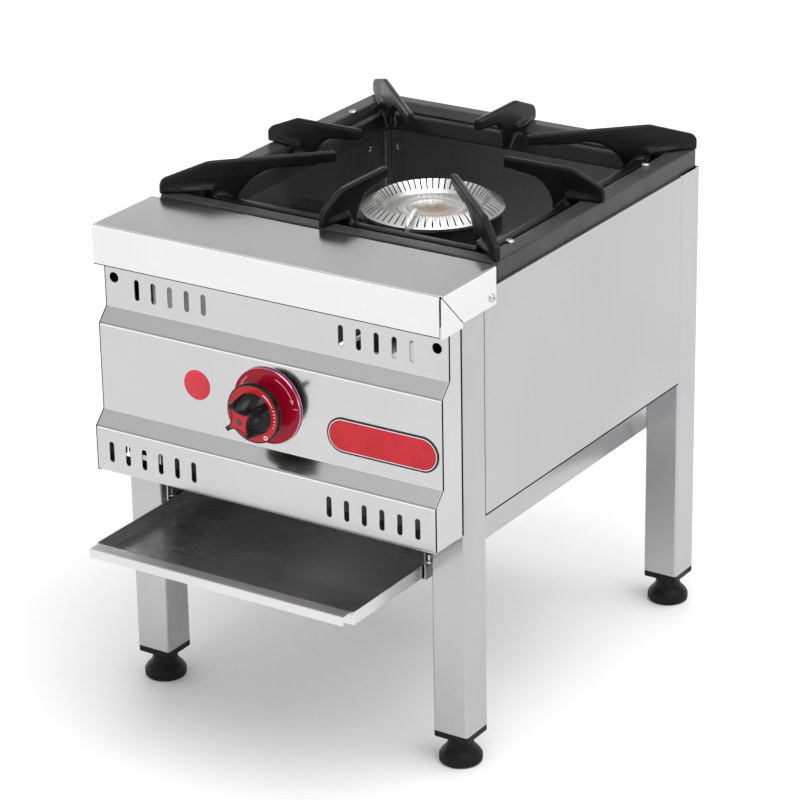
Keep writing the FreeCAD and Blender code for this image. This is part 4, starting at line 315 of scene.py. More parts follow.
# ---------------------------------------------------------------- side and rear panels
# Thin stainless sheets between the legs, folded inwards on all four edges.
# The folds have a small radius that catches the light beside the dark joint at each leg.
SHEET = 1.0 * MM
FOLD_RADIUS, FOLD_STEPS = 1.3 * MM, 4
CUT_EDGE, CUT_ANGLE = 0.15 * MM, math.radians(50)
# the strips of painted shadow under the side panels: how far they stand in, how deep and how tall
SHADOW_SETBACK, SHADOW_DEPTH, SHADOW_HEIGHT = 0.2 * MM, 1.5 * MM, 1.0 * MM

side_steel = sheet_steel("side_steel", (0.465, 0.465, 0.470), 0.18, 0.26, along="Y")
# The inner sides of the sheets are a duller steel, also painted darker as painted shade inside the
# body.
inner_steel = sheet_steel("inner_steel", (0.34, 0.34, 0.345), 0.35, 0.5)
# Near-black painted shade, for strips and fillers in the gaps between parts.
painted_shade_black = moulded_black("painted_shade_black", (0.003, 0.003, 0.003), 0.8, 0.95, shine=0.05)


def eased(thing, width, segments, angle):
    """Takes the sharpness off a piece's edges with a live bevel."""
    edge = thing.modifiers.new("edges", "BEVEL")
    edge.width = width
    edge.segments = segments
    edge.limit_method = "ANGLE"
    edge.angle_limit = angle
    return edge


def sheet_of(thing, thickness, inside=inner_steel):
    """Gives a surface its sheet thickness, inwards, and its inner side a finish of its own."""
    thing.data.materials.append(inside)
    wall = thing.modifiers.new("sheet", "SOLIDIFY")
    wall.thickness = thickness
    wall.offset = -1.0
    wall.material_offset = 1
    eased(thing, CUT_EDGE, 2, CUT_ANGLE)
    return even_normals(thing)


def inner_edges(mesh):
    """The edges between two faces, which are a sheet's folds."""
    return [edge for edge in mesh.edges if len(edge.link_faces) == 2]


def folded_box(low, high, open_side):
    """A box of sheet with one side left open and its folds rounded."""
    shell = block(low, high)
    bmesh.ops.delete(shell, geom=facing(shell, open_side), context="FACES")
    round_off(shell, inner_edges(shell), FOLD_RADIUS, FOLD_STEPS)
    return shell


def joined(meshes):
    """Several meshes as one."""
    whole = bmesh.new()
    for mesh in meshes:
        data = bpy.data.meshes.new("joining")
        mesh.to_mesh(data)
        mesh.free()
        whole.from_mesh(data)
        bpy.data.meshes.remove(data)
    return whole


for name, node, inward in (("side_sheet_left", "side_panel_left", (1, 0, 0)),
                           ("side_sheet_right", "side_panel_right", (-1, 0, 0)),
                           ("rear_sheet", "rear_panel", (0, -1, 0))):
    panel = folded_box(*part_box(node), inward)
    sheet_of(piece(name, panel, side_steel, "frame", "stainless", node), SHEET)

# Thin near-black strips under the side panels' lower edges are painted shadow.
shadow_strips = []
for side, outward in (("left", -1), ("right", 1)):
    low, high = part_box(f"side_panel_{side}")
    outer = low.x if outward < 0 else high.x
    near, far = sorted((outer - outward * SHADOW_SETBACK, outer - outward * SHADOW_DEPTH))
    shadow_strips.append(block((near, low.y, low.z - SHADOW_HEIGHT), (far, high.y, low.z)))
piece("side_panel_shadow_strips", joined(shadow_strips), painted_shade_black, "frame", "stainless")

# ---------------------------------------------------------------- hob plate
# A sheet of black enamelled steel with a skirt round it and a flange into the square opening.
# Satin black with a little dust, screwed down at its corners.
HOB_SHEET = 1.5 * MM
HOB_CORNER, HOB_CORNER_STEPS = 5.0 * MM, 6
HOB_FOLD, HOB_FOLD_STEPS = 2.0 * MM, 4
HOB_RIM_SIDE, HOB_RIM_END = 28.2 * MM, 24.7 * MM
HOB_FLANGE_GAP = 0.4 * MM
HOB_DISH_DROP = 6.8 * MM  # the rim slopes down round the opening, towards the pan support
HOB_DISH_SIDE, HOB_DISH_END = 2.9 * MM, 9.4 * MM
HOB_DISH_CORNER = 30.0 * MM  # straight corners, which clear the feet of the corner fingers
NEAR = 0.01 * MM  # points closer than this to a plane lie on it


def lies_at(item, axis, place):
    """Whether an edge or face lies on the plane square to an axis at a place."""
    return all(abs(vert.co[axis] - place) < NEAR for vert in item.verts)


def among(made, kind):
    """The vertices, edges or faces in what an operator made."""
    return [item for item in made if isinstance(item, kind)]


hob_enamel = moulded_black("hob_enamel", (0.036, 0.036, 0.037), 0.26, 0.38, shine=0.22,
                           pits=420.0, relief=0.05)
low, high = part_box("hob_plate")
hob_middle, hob_top = (low + high) / 2, high.z
plate = block(low, high)
bmesh.ops.delete(plate, geom=facing(plate, (0, 0, -1)), context="FACES_ONLY")
top = facing(plate, (0, 0, 1))[0]
bmesh.ops.inset_region(plate, faces=[top], thickness=HOB_RIM_END)
narrow = (high.x - low.x - 2 * HOB_RIM_SIDE) / (high.x - low.x - 2 * HOB_RIM_END)
bmesh.ops.scale(plate, vec=(narrow, 1, 1), verts=top.verts, space=Matrix.Translation(-hob_middle))
for edge in list(top.edges):
    near, far = edge.verts
    middle = bmesh.utils.edge_split(edge, near, HOB_DISH_CORNER / edge.calc_length())[1]
    rest = [e for e in middle.link_edges if far in e.verts][0]
    bmesh.utils.edge_split(rest, far, HOB_DISH_CORNER / rest.calc_length())
opening = Vector([max(abs(v.co[i] - hob_middle[i]) for v in top.verts) for i in range(2)])
flange_drop = hob_top - HOB_DISH_DROP - low.z - HOB_FLANGE_GAP
for drop, side, end in ((HOB_DISH_DROP, HOB_DISH_SIDE, HOB_DISH_END), (flange_drop, 0.0, 0.0)):
    sunk = bmesh.ops.extrude_face_region(plate, geom=[top])["geom"]
    bmesh.ops.delete(plate, geom=[top], context="FACES_ONLY")
    top = among(sunk, bmesh.types.BMFace)[0]
    for vert in top.verts:
        out = vert.co - hob_middle
        at_side = abs(abs(out.x) - opening.x) < NEAR
        at_end = abs(abs(out.y) - opening.y) < NEAR
        shift_x = 0.0 if at_end else math.copysign(side, out.x)
        shift_y = 0.0 if at_side else math.copysign(end, out.y)
        vert.co -= Vector((shift_x, shift_y, drop))
bmesh.ops.delete(plate, geom=[top], context="FACES_ONLY")
skirt_corners = [e for e in along_axis(plate, 2) if abs(e.verts[0].co.x) > high.x - NEAR]
round_off(plate, skirt_corners, HOB_CORNER, HOB_CORNER_STEPS)
top_folds = [e for e in sharp_edges(plate, 30.0) if lies_at(e, 2, hob_top)]
round_off(plate, top_folds, HOB_FOLD, HOB_FOLD_STEPS)
sheet_of(piece("enamelled_hob", plate, hob_enamel, "frame", "black_enamel", "hob_plate"),
         HOB_SHEET, hob_enamel)

# ---------------------------------------------------------------- apron
# A folded stainless cover screwed over the front of the top. Its front lip ends short of
# the corners, where a tab with a mitred seam closes each side.
APRON_SHEET = 1.2 * MM
APRON_FOLD = 2.3 * MM
APRON_LIP, APRON_SIDE, APRON_REAR = 41.8 * MM, 39.0 * MM, 21.4 * MM
APRON_LIP_END, APRON_LIP_END_LEFT = 3.0 * MM, 1.2 * MM
# the strip of painted shadow under the lip: its height and how far it stands back
APRON_SHADOW, APRON_SHADOW_SETBACK = 0.9 * MM, 0.05 * MM
APRON_TAB_DROP, APRON_TAB_GAP = 1.9 * MM, 1.5 * MM
APRON_SETBACK = 0.4 * MM
SEAM = 0.8 * MM

# The apron's stainless is the panel's, painted lighter: painted light on the lit top and lip.
lit_apron_steel = sheet_steel("lit_apron_steel", (0.755, 0.755, 0.757), 0.13, 0.19, along="X",
                          relief=0.02)
# Near-black painted shadow, in a thin strip under the front lip's lower edge.
lip_shadow_black = moulded_black("lip_shadow_black", (0.03, 0.03, 0.03), 0.6, 0.8, shine=0.15)


def points_on(mesh, axis, place, points):
    """New vertices on the plane square to an axis at a place."""
    across = [i for i in range(3) if i != axis]
    verts = []
    for point in points:
        spot = Vector((place, place, place))
        spot[across[0]], spot[across[1]] = point
        verts.append(mesh.verts.new(spot))
    return verts


def folded(section, axis, start, end, fold):
    """A folded sheet's surface: its section drawn out along one axis, with rounded folds."""
    mesh = bmesh.new()
    verts = points_on(mesh, axis, start, section)
    edges = [mesh.edges.new(pair) for pair in zip(verts, verts[1:])]
    drawn = bmesh.ops.extrude_edge_only(mesh, edges=edges)["geom"]
    shift = Vector((0, 0, 0))
    shift[axis] = end - start
    bmesh.ops.translate(mesh, vec=shift, verts=among(drawn, bmesh.types.BMVert))
    if fold:
        round_off(mesh, inner_edges(mesh), fold, FOLD_STEPS)
    return mesh


def outlined(axis, place, points):
    """One flat face square to an axis."""
    mesh = bmesh.new()
    mesh.faces.new(points_on(mesh, axis, place, points))
    return mesh


def turned_out(mesh, inside):
    """Turns every face of a welded sheet away from a point inside it."""
    bmesh.ops.remove_doubles(mesh, verts=mesh.verts, dist=WELD)
    for face in mesh.faces:
        face.normal_update()
        if face.normal.dot(face.calc_center_median() - Vector(inside)) < 0:
            face.normal_flip()
    return mesh


low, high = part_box("apron")
leg_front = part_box("leg_front_right")[0].y
lip_x, lip_left = high.x - APRON_LIP_END, low.x + APRON_LIP_END_LEFT
lip_low, fold_z = high.z - APRON_LIP, high.z - APRON_FOLD
section = [(high.y, high.z - APRON_REAR), (high.y, high.z), (low.y, high.z), (low.y, lip_low)]
lip_end = [(lip_left, lip_low), (-lip_x, lip_low), (-lip_x, fold_z), (lip_left, fold_z)]
sheets = [folded(section, 0, -lip_x, lip_x, APRON_FOLD), outlined(1, low.y, lip_end)]
tab_front, tab_low = low.y + APRON_SETBACK, lip_low - APRON_TAB_DROP
seam_end = leg_front - APRON_TAB_GAP
seam_low = high.z - (seam_end - low.y)
tab = [(tab_front, fold_z), (low.y + APRON_FOLD - SEAM, fold_z - SEAM),
       (seam_end, seam_low - 2 * SEAM), (seam_end, tab_low), (tab_front, tab_low)]
for side in (-1, 1):
    edge_x = side * high.x
    section = [(side * lip_x, high.z), (edge_x, high.z), (edge_x, high.z - APRON_SIDE)]
    flange = folded(section, 1, low.y + APRON_FOLD, high.y - APRON_FOLD, APRON_FOLD)
    bmesh.ops.bisect_plane(flange, geom=flange.verts[:] + flange.edges[:] + flange.faces[:],
                           plane_co=(0, low.y, high.z), plane_no=(0, 1, 1), clear_inner=True)
    sheets += [flange, outlined(0, edge_x, tab)]
cover = turned_out(joined(sheets), (0, (low.y + high.y) / 2, low.z))
sheet_of(piece("front_cover", cover, lit_apron_steel, "frame", "stainless_panel", "apron"),
         APRON_SHEET)
# A thin near-black strip hanging under the lip's lower edge is painted shadow.
lip_shadow = block((lip_left, low.y + APRON_SHADOW_SETBACK, lip_low - APRON_SHADOW),
            (lip_x, low.y + APRON_SHEET, lip_low))
piece("front_cover_lip_shadow", lip_shadow, lip_shadow_black, "frame", "stainless_panel")

# ---------------------------------------------------------------- control panel
# One stainless sheet in three bands with air slots, folded with tight bright bends.
# Separate cheeks close its sides and leave an open seam at each front corner, filled with black
# painted shade.
PANEL_SHEET = 1.0 * MM
PANEL_FOLD, PANEL_CREASE, PANEL_STEPS = 2.4 * MM, 0.5 * MM, 6  # creases fold the other way
PANEL_RETURN, PANEL_FLOOR = 14.0 * MM, 40.0 * MM  # the edges folded in at the top and bottom
BAND_TOP, BAND_MIDDLE = 27.3 * MM, 13.9 * MM  # how far the upper bands stand behind the lowest
BENDS = (90.2 * MM, 104.9 * MM, 198.3 * MM, 212.7 * MM)  # down from the panel's top edge
BAND_MARGIN = 1.5 * MM
FILL_SCALE, FILL_TURN = 1000.0, 13.7  # the fill fails on small shapes and on rows in line
SLOT_WIDTH, SLOT_HEIGHT, SLOT_PITCH = 6.0 * MM, 22.3 * MM, 20.6 * MM
SLOT_SIDE = 19.7 * MM
SLOTS_LOW, SLOTS_TOP = 6, 5
SLOT_TOP_DROP, SLOT_LOW_RISE = 66.9 * MM, 23.0 * MM
HOLE_RADIUS, HOLE_SIDE, HOLE_DROP = 5.5 * MM, 12.3 * MM, 58.0 * MM
NECK_RADIUS = 10.9 * MM
CHEEK_SEAM, CHEEK_GAP = 2.7 * MM, 3.4 * MM
# the black blocks of painted shade behind the slots, in front of the legs
SHADE_BLOCK_WIDTH, SHADE_BLOCK_INSET, SHADE_BLOCK_DROP = 38.0 * MM, 0.4 * MM, 20.0 * MM
SHADE_BLOCK_FRONT, SHADE_BLOCK_BACK = 0.8 * MM, 0.1 * MM  # in front of the legs
SEAM_INSET, SEAM_START, SEAM_DEPTH = 1.2 * MM, 0.1 * MM, 8.1 * MM
EDGE_WIDTH, EDGE_SETBACK = 1.5 * MM, 0.5 * MM  # the black strip of painted shade in the joint along the left edge

# The same stainless as the apron's, painted darker: painted shade on the front bands and cheeks.
shaded_panel_steel = sheet_steel("shaded_panel_steel", (0.565, 0.565, 0.567), 0.13, 0.19, along="X",
                          relief=0.02)
# The panel's inner side is near black: painted shade behind the slots.
panel_inside = sheet_steel("panel_inside", (0.08, 0.08, 0.08), 0.45, 0.6)


def oblong(mesh, x, y, z, width, height, segments=24):
    """The outline of a hole or plate with round ends, or of a round one, facing the front."""
    radius = min(width, height) / 2
    place = Matrix.Translation((x, y, z)) @ Matrix.Rotation(math.pi / 2, 4, "X")
    turn = Matrix.Rotation(math.pi / segments, 4, "Z")
    verts = bmesh.ops.create_circle(mesh, segments=segments, radius=radius,
                                    matrix=place @ turn)["verts"]
    for vert in verts:
        vert.co.x += math.copysign(width / 2 - radius, vert.co.x - x)
        vert.co.z += math.copysign(height / 2 - radius, vert.co.z - z)
    return list({edge for vert in verts for edge in vert.link_edges})


def pierced(mesh, band, holes):
    """Cuts holes with round ends into one flat face of a sheet."""
    y = band.verts[0].co.y
    bmesh.ops.inset_region(mesh, faces=[band], thickness=BAND_MARGIN)
    edges = list(band.edges)
    bmesh.ops.delete(mesh, geom=[band], context="FACES_ONLY")
    for x, z, width, height in holes:
        edges += oblong(mesh, x, y, z, width, height)
    skewed = Matrix.Rotation(math.radians(FILL_TURN), 4, "Y") @ Matrix.Scale(FILL_SCALE, 4)
    bmesh.ops.transform(mesh, matrix=skewed, verts=mesh.verts)
    bmesh.ops.triangle_fill(mesh, use_beauty=True, use_dissolve=False, edges=edges,
                            normal=(0, -1, 0))
    bmesh.ops.transform(mesh, matrix=skewed.inverted(), verts=mesh.verts)


low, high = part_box("control_panel")
half = high.x
bends = [high.z - drop for drop in BENDS]
top_y, middle_y = low.y + BAND_TOP, low.y + BAND_MIDDLE
profile = [(top_y, high.z), (top_y, bends[0]), (middle_y, bends[1]), (middle_y, bends[2]),
           (low.y, bends[3]), (low.y, low.z)]
section = [(top_y + PANEL_RETURN, high.z)] + profile + [(low.y + PANEL_FLOOR, low.z)]
skin = folded(section, 0, EDGE_WIDTH - half, half, 0)
for heights, radius in (((bends[0], bends[2]), PANEL_CREASE),
                        ((high.z, bends[1], bends[3], low.z), PANEL_FOLD)):
    folds = [e for e in inner_edges(skin) if any(lies_at(e, 2, z) for z in heights)]
    round_off(skin, folds, radius, PANEL_STEPS)
dial_low, dial_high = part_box("dial_rim")
dial_middle = (dial_low + dial_high) / 2
holes = {top_y: [], low.y: [],
         middle_y: [(dial_middle.x, dial_middle.z, 2 * NECK_RADIUS, 2 * NECK_RADIUS)]}
first = half - SLOT_SIDE - SLOT_PITCH * (SLOTS_LOW - 1)
for side in (-1, 1):
    for y, count, z in ((top_y, SLOTS_TOP, high.z - SLOT_TOP_DROP),
                        (low.y, SLOTS_LOW, low.z + SLOT_LOW_RISE)):
        holes[y] += [(side * (first + SLOT_PITCH * i), z, SLOT_WIDTH, SLOT_HEIGHT)
                     for i in range(count)]
    holes[top_y].append((side * (half - HOLE_SIDE), high.z - HOLE_DROP,
                         2 * HOLE_RADIUS, 2 * HOLE_RADIUS))
for y in (top_y, middle_y, low.y):
    flat = [face for face in skin.faces if lies_at(face, 1, y)]
    pierced(skin, max(flat, key=lambda face: face.calc_area()), holes[y])
panel_inner = (0, 0, dial_middle.z)
sheet_of(piece("panel_skin", turned_out(skin, panel_inner), shaded_panel_steel, "frame",
               "stainless_panel", "control_panel"), PANEL_SHEET, panel_inside)

leg_face = leg_front - CHEEK_GAP
behind = (0, leg_face, dial_middle.z)
cheek = [(y + PANEL_SHEET + CHEEK_SEAM, z) for y, z in profile]
cheek += [(leg_face, low.z), (leg_face, high.z)]
cheeks = turned_out(joined([outlined(0, side * half, cheek) for side in (-1, 1)]), behind)
sheet_of(piece("panel_cheeks", cheeks, shaded_panel_steel, "frame", "stainless_panel"), PANEL_SHEET)

seam = [(y + PANEL_SHEET + SEAM_START, z) for y, z in profile]
seam += [(y + PANEL_SHEET + SEAM_DEPTH, z) for y, z in reversed(profile)]
# Black painted shade: blocks in front of the legs that show through the slots, fillers in the
# corner seams, and a strip along the left edge.
shade_blocks = []
for side in (-1, 1):
    near, far = sorted((side * (half - SHADE_BLOCK_INSET), side * (half - SHADE_BLOCK_WIDTH)))
    shade_blocks.append(block((near, leg_front - SHADE_BLOCK_FRONT, low.z),
                         (far, leg_front - SHADE_BLOCK_BACK, high.z - SHADE_BLOCK_DROP)))
    shade_blocks.append(turned_out(outlined(0, side * (half - SEAM_INSET), seam), behind))
joint = folded([(y + EDGE_SETBACK, z) for y, z in profile], 0, -half, 3 * EDGE_WIDTH - half, 0)
shade_blocks.append(turned_out(joint, behind))
piece("panel_shade_blocks", joined(shade_blocks), painted_shade_black, "frame", "stainless_panel")

# ---------------------------------------------------------------- badge and label
# The badge is a bare enamelled plate with a black border and a fine white line.
# The round label is a bare film disc. Both are stuck to the middle band.
BADGE_BORDER, BADGE_LINE = 2.0 * MM, 0.8 * MM
BADGE_EDGE, BADGE_STEPS = 0.35 * MM, 48
LABEL_EDGE, LABEL_STEPS = 0.1 * MM, 64
LAYER = 0.08 * MM


def coated(name, colour, roughness, wave=0.05, shine=0.25):
    """Glossy enamel or printed film with a clear coat and slightly uneven colour."""
    material, tree, shader = new_material(name, shine, roughness=roughness, coat_weight=0.15,
                                          coat_roughness=0.08)
    patchy_colour(tree, shader, colour, 30.0, 0.93, 1.05)
    relief_of(tree, shader, fine_noise(tree, 90.0), wave, 0.3 * MM)
    return material


def raised(outline, front, edge=0.0):
    """A thin plate from a flat outline to a front face, with the front edge rounded."""
    face = bmesh.ops.edgeloop_fill(outline, edges=outline.edges)["faces"][0]
    depth = front - face.calc_center_median().y
    lifted = bmesh.ops.extrude_face_region(outline, geom=[face], use_keep_orig=True)["geom"]
    bmesh.ops.translate(outline, vec=(0, depth, 0), verts=among(lifted, bmesh.types.BMVert))
    bmesh.ops.recalc_face_normals(outline, faces=outline.faces)
    if edge:
        round_off(outline, among(lifted, bmesh.types.BMEdge), edge, 2)
    return outline


badge_black = coated("badge_black", (0.012, 0.012, 0.012), 0.35)
badge_white = coated("badge_white", (0.80, 0.78, 0.78), 0.4)
badge_red = coated("badge_red", (0.50, 0.009, 0.020), 0.3)
label_red = coated("label_red", (0.60, 0.028, 0.05), 0.4, wave=0.1)
low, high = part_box("badge_plate")
centre, extent = (low + high) / 2, high - low
for name, inset, lift, material, node in (
        ("badge_border", 0.0, 2 * LAYER, badge_black, ("badge_plate",)),
        ("badge_line", BADGE_BORDER, LAYER, badge_white, ()),
        ("badge_field", BADGE_BORDER + BADGE_LINE, 0.0, badge_red, ())):
    sign = bmesh.new()
    oblong(sign, centre.x, high.y, centre.z, extent.x - 2 * inset, extent.z - 2 * inset,
           BADGE_STEPS)
    plate = raised(sign, low.y + lift, 0.0 if inset else BADGE_EDGE)
    piece(name, plate, material, "frame", "red_sign", *node)
low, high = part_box("round_label")
centre, width = (low + high) / 2, high.x - low.x
disc = bmesh.new()
oblong(disc, centre.x, high.y, centre.z, width, width, LABEL_STEPS)
piece("film_label", raised(disc, low.y, LABEL_EDGE), label_red, "frame", "label_film",
      "round_label")

# ---------------------------------------------------------------- dial
# A crimson enamel disc with fine white arcs, an arrowhead and a mark, in a bright rim.
# It is held on the panel by the valve's lock nut.
DIAL_STEPS = 96
DIAL_INSET = 0.3 * MM  # of the disc's back behind the rim
DIAL_SLOPE, DIAL_SLOPE_DEPTH = 1.5 * MM, 0.5 * MM
RIM_WIDTH, RIM_DEPTH, RIM_BEHIND = 1.1 * MM, 1.6 * MM, 0.7 * MM
# millimetres in from the edge and back from the front
RIM_ROUND = ((0.0, 0.9), (0.15, 0.4), (0.4, 0.0), (0.75, 0.0), (1.1, 0.6))
# radius and width in millimetres, start and end in degrees, width at the end over the start's
DIAL_MARKS = ((35.0, 0.9, 151, 131, 1.0), (32.0, 0.9, 70, 20, 1.0), (31.8, 4.4, 22, 13, 0.05),
              (33.8, 6.0, 5.8, 4.4, 1.0))
ARC_STEP = 4  # degrees
INK = 0.05 * MM


def in_from(radius, front, points):
    """Profile points from millimetres in from an edge and back from a front."""
    return [(radius - inwards * MM, front + back * MM) for inwards, back in points]


def arc_mark(centre, radius, width, start, end, taper=1.0):
    """A printed arc that faces the front, from one angle to another in degrees."""
    mesh = bmesh.new()
    turn = Matrix.Rotation(-math.radians(start), 3, "Y")
    ends = [mesh.verts.new(centre + turn @ Vector((radius + share * width, 0, 0)))
            for share in (-0.5, 0.5)]
    bmesh.ops.spin(mesh, geom=ends + [mesh.edges.new(ends)], cent=centre, axis=(0, -1, 0),
                   angle=math.radians(end - start),
                   steps=max(2, round(abs(end - start) / ARC_STEP)))
    for vert in mesh.verts:
        out = vert.co - centre
        share = (math.degrees(math.atan2(out.z, out.x)) - start) / (end - start)
        length = radius + (out.length - radius) * (1 + (taper - 1) * share)
        vert.co = centre + out.normalized() * length
    return mesh


def printed(name, marks, material, body, slot):
    """Flat printed marks, turned to the front and given the thickness of the ink."""
    thing = piece(name, turned_out(joined(marks), (0, 0, 0)), material, body, slot)
    ink = thing.modifiers.new("ink", "SOLIDIFY")
    ink.thickness = INK
    ink.offset = 1.0


dial_red = coated("dial_red", (0.34, 0.002, 0.018), 0.2, shine=0.15)
dial_white = coated("dial_white", (0.66, 0.48, 0.52), 0.4)
rim_pink, tree, shader = new_material("rim_pink", metallic=1.0, roughness=0.16)
patchy_colour(tree, shader, (0.80, 0.36, 0.60), 20.0, 0.9, 1.05)
low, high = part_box("dial_plate")
radius, face_y = (dial_high.x - dial_low.x) / 2, low.y
dial_axis = Vector((dial_middle.x, 0, dial_middle.z))
field, skirt = radius - RIM_WIDTH, radius - DIAL_INSET
rim_back = max(dial_low.y + RIM_DEPTH, face_y + RIM_BEHIND)
profile = [(NECK_RADIUS, high.y), (skirt, high.y), (skirt, rim_back), (field, rim_back),
           (field, face_y + DIAL_SLOPE_DEPTH), (field - DIAL_SLOPE, face_y),
           (NECK_RADIUS, face_y), (NECK_RADIUS, high.y)]
piece("dial_disc", spun(profile, dial_axis, DIAL_STEPS, axis="Y"), dial_red, "frame",
      "red_sign", "dial_plate")
profile = [(field, rim_back), (radius, rim_back)] + in_from(radius, dial_low.y, RIM_ROUND)
profile.append((field, rim_back))
piece("dial_bright_rim", spun(profile, dial_axis, DIAL_STEPS, axis="Y"), rim_pink, "frame",
      "bright_rim", "dial_rim")
centre = Vector((dial_middle.x, face_y, dial_middle.z))
marks = [arc_mark(centre, reach * MM, width * MM, start, end, taper)
         for reach, width, start, end, taper in DIAL_MARKS]
printed("dial_marks", marks, dial_white, "frame", "red_sign")

# ---------------------------------------------------------------- knob
# Glossy black plastic: a round skirt with a red printed ring, and a grip whose face is a star
# with deep scoops between its points. It pushes on to the valve's stem.
KNOB_STEPS = 128
KNOB_BORE = 4.0 * MM
SKIRT_HUB, SKIRT_BACK = 14.0 * MM, 5.8 * MM
# millimetres in from the edge and back from the back or the front
SKIRT_BACK_EDGE = ((1.5, 0.0), (0.0, -1.2))
SKIRT_FRONT_EDGE = ((0.0, 1.2), (0.5, 0.3), (1.1, 0.0), (1.6, 0.0), (1.65, 0.4))
RING_EDGE = ((1.7, 0.1), (1.7, 0.5))
RING_UNDER_GRIP, RING_SINK = 3.0 * MM, 0.1 * MM
GRIP_STEPS, GRIP_LEVELS = 192, 14
GRIP_FOOT_RADIUS, GRIP_EDGE = 22.0 * MM, 0.5 * MM
SCOOP_NARROW, SCOOP_BOW = 1.5, 0.8
STAR_TURN = math.radians(35.0)
STAR_TIP, STAR_REACH = 19.4 * MM, 21.5 * MM  # reach: where points would end without blunt tips
STAR_PINCH, STAR_BLUNT = 0.60, 2.5 * MM
INLAY_TIP, INLAY_REACH, INLAY_PINCH, INLAY_BLUNT = 14.4 * MM, 15.0 * MM, 0.71, 0.9 * MM
INLAY_SINK, INLAY_PROUD = 0.6 * MM, 0.03 * MM
BUTTON_STEPS = 48
BUTTON = ((4.0, -0.25), (0.6, -0.25), (0.1, 0.05), (0.0, 0.8))  # as the skirt's edges
BUTTON_RADIUS = 4.0 * MM
SCALE_RADIUS = 25.8 * MM
SCALE_ARC = (1.4 * MM, 60, 25, 0.4)  # width, start and end in degrees, taper
OFF_RADIUS, OFF_TURN = 27.0 * MM, math.radians(57)
OFF_RING, OFF_WIDTH = 1.9 * MM, 1.0 * MM
TICKS, TICK_FIRST, TICK_PITCH, TICK_HALF = 6, 18, 8, 0.9  # the last three in degrees
TICK_WIDTH, TICK_LOSS = 2.6, 0.25  # millimetres: the first one's, and what each next one loses


def star_radius(angle, tip, reach, pinch, blunt):
    """The face's outline: four narrow points with hollow sides between, and blunt tips."""
    across, along = abs(math.cos(angle - STAR_TURN)), abs(math.sin(angle - STAR_TURN))
    sides = (across ** pinch + along ** pinch) ** (1 / pinch)
    arm = blunt / max(0.001, min(across, along))
    return min(tip, max(arm, reach / sides))


knob_black = moulded_black("knob_black", (0.004, 0.004, 0.004), 0.12, 0.2, shine=0.22,
                           pits=250.0, relief=0.03)
knob_red = coated("knob_red", (0.46, 0.008, 0.015), 0.28)
knob_white = coated("knob_white", (0.85, 0.80, 0.80), 0.4)
button_grey = moulded_black("button_grey", (0.05, 0.035, 0.04), 0.35, 0.5, shine=0.3)
low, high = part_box("knob")
ring_low, ring_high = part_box("knob_ring")
knob_axis = Vector(((low.x + high.x) / 2, 0, (ring_low.z + ring_high.z) / 2))
skirt, front, back = (high.x - low.x) / 2, ring_low.y, high.y - SKIRT_BACK
profile = [(KNOB_BORE, high.y), (SKIRT_HUB, high.y), (SKIRT_HUB, back)]
profile += in_from(skirt, back, SKIRT_BACK_EDGE) + in_from(skirt, front, SKIRT_FRONT_EDGE)
profile.append((KNOB_BORE, profile[-1][1]))
piece("knob_skirt", spun(profile, knob_axis, KNOB_STEPS, axis="Y"), knob_black, "knob",
      "black_plastic", "knob")
profile = [(GRIP_FOOT_RADIUS - RING_UNDER_GRIP, front + RING_SINK)]
profile += in_from(skirt, front, RING_EDGE)
piece("knob_print_ring", spun(profile, knob_axis, KNOB_STEPS, axis="Y"), knob_red, "knob",
      "red_plastic", "knob_ring")

levels = [(GRIP_FOOT_RADIUS, front + (low.y - front) * i / GRIP_LEVELS)
          for i in range(GRIP_LEVELS + 1)]
grip = spun(levels, knob_axis, GRIP_STEPS, axis="Y")
for vert in grip.verts:
    share = min(1.0, max(0.0, (front - vert.co.y) / (front - low.y)))
    out = Vector((vert.co.x - knob_axis.x, 0, vert.co.z - knob_axis.z))
    angle = math.atan2(out.z, out.x)
    star = star_radius(angle, STAR_TIP, STAR_REACH, STAR_PINCH, STAR_BLUNT)
    hollow = 1 - abs(math.cos(2 * (angle - STAR_TURN))) ** SCOOP_NARROW
    scoop = math.sin(math.pi / 2 * share) ** SCOOP_BOW
    reach = share + (scoop - share) * hollow
    length = GRIP_FOOT_RADIUS + (star - GRIP_FOOT_RADIUS) * reach
    vert.co = Vector((knob_axis.x, vert.co.y, knob_axis.z)) + out.normalized() * length
face_edges = [edge for edge in grip.edges if lies_at(edge, 1, low.y)]
bmesh.ops.edgeloop_fill(grip, edges=face_edges)
bmesh.ops.recalc_face_normals(grip, faces=grip.faces)
round_off(grip, face_edges, GRIP_EDGE, 2)
piece("knob_grip", grip, knob_black, "knob", "black_plastic", smooth=50.0)

inlay = bmesh.new()
bmesh.ops.create_circle(inlay, segments=GRIP_STEPS, radius=STAR_TIP,
                        matrix=Matrix.Rotation(math.pi / 2, 4, "X"))
for vert in inlay.verts:
    angle = math.atan2(vert.co.z, vert.co.x)
    length = star_radius(angle, INLAY_TIP, INLAY_REACH, INLAY_PINCH, INLAY_BLUNT)
    out = Vector((math.cos(angle), 0, math.sin(angle)))
    vert.co = Vector((knob_axis.x, low.y + INLAY_SINK, knob_axis.z)) + out * length
piece("knob_star_inlay", raised(inlay, low.y - INLAY_PROUD), knob_red, "knob", "red_plastic",
      "knob_star")
button = spun(in_from(BUTTON_RADIUS, low.y, BUTTON), knob_axis, BUTTON_STEPS, axis="Y")
piece("knob_centre_button", button, button_grey, "knob", "grey_plastic", "knob_button")

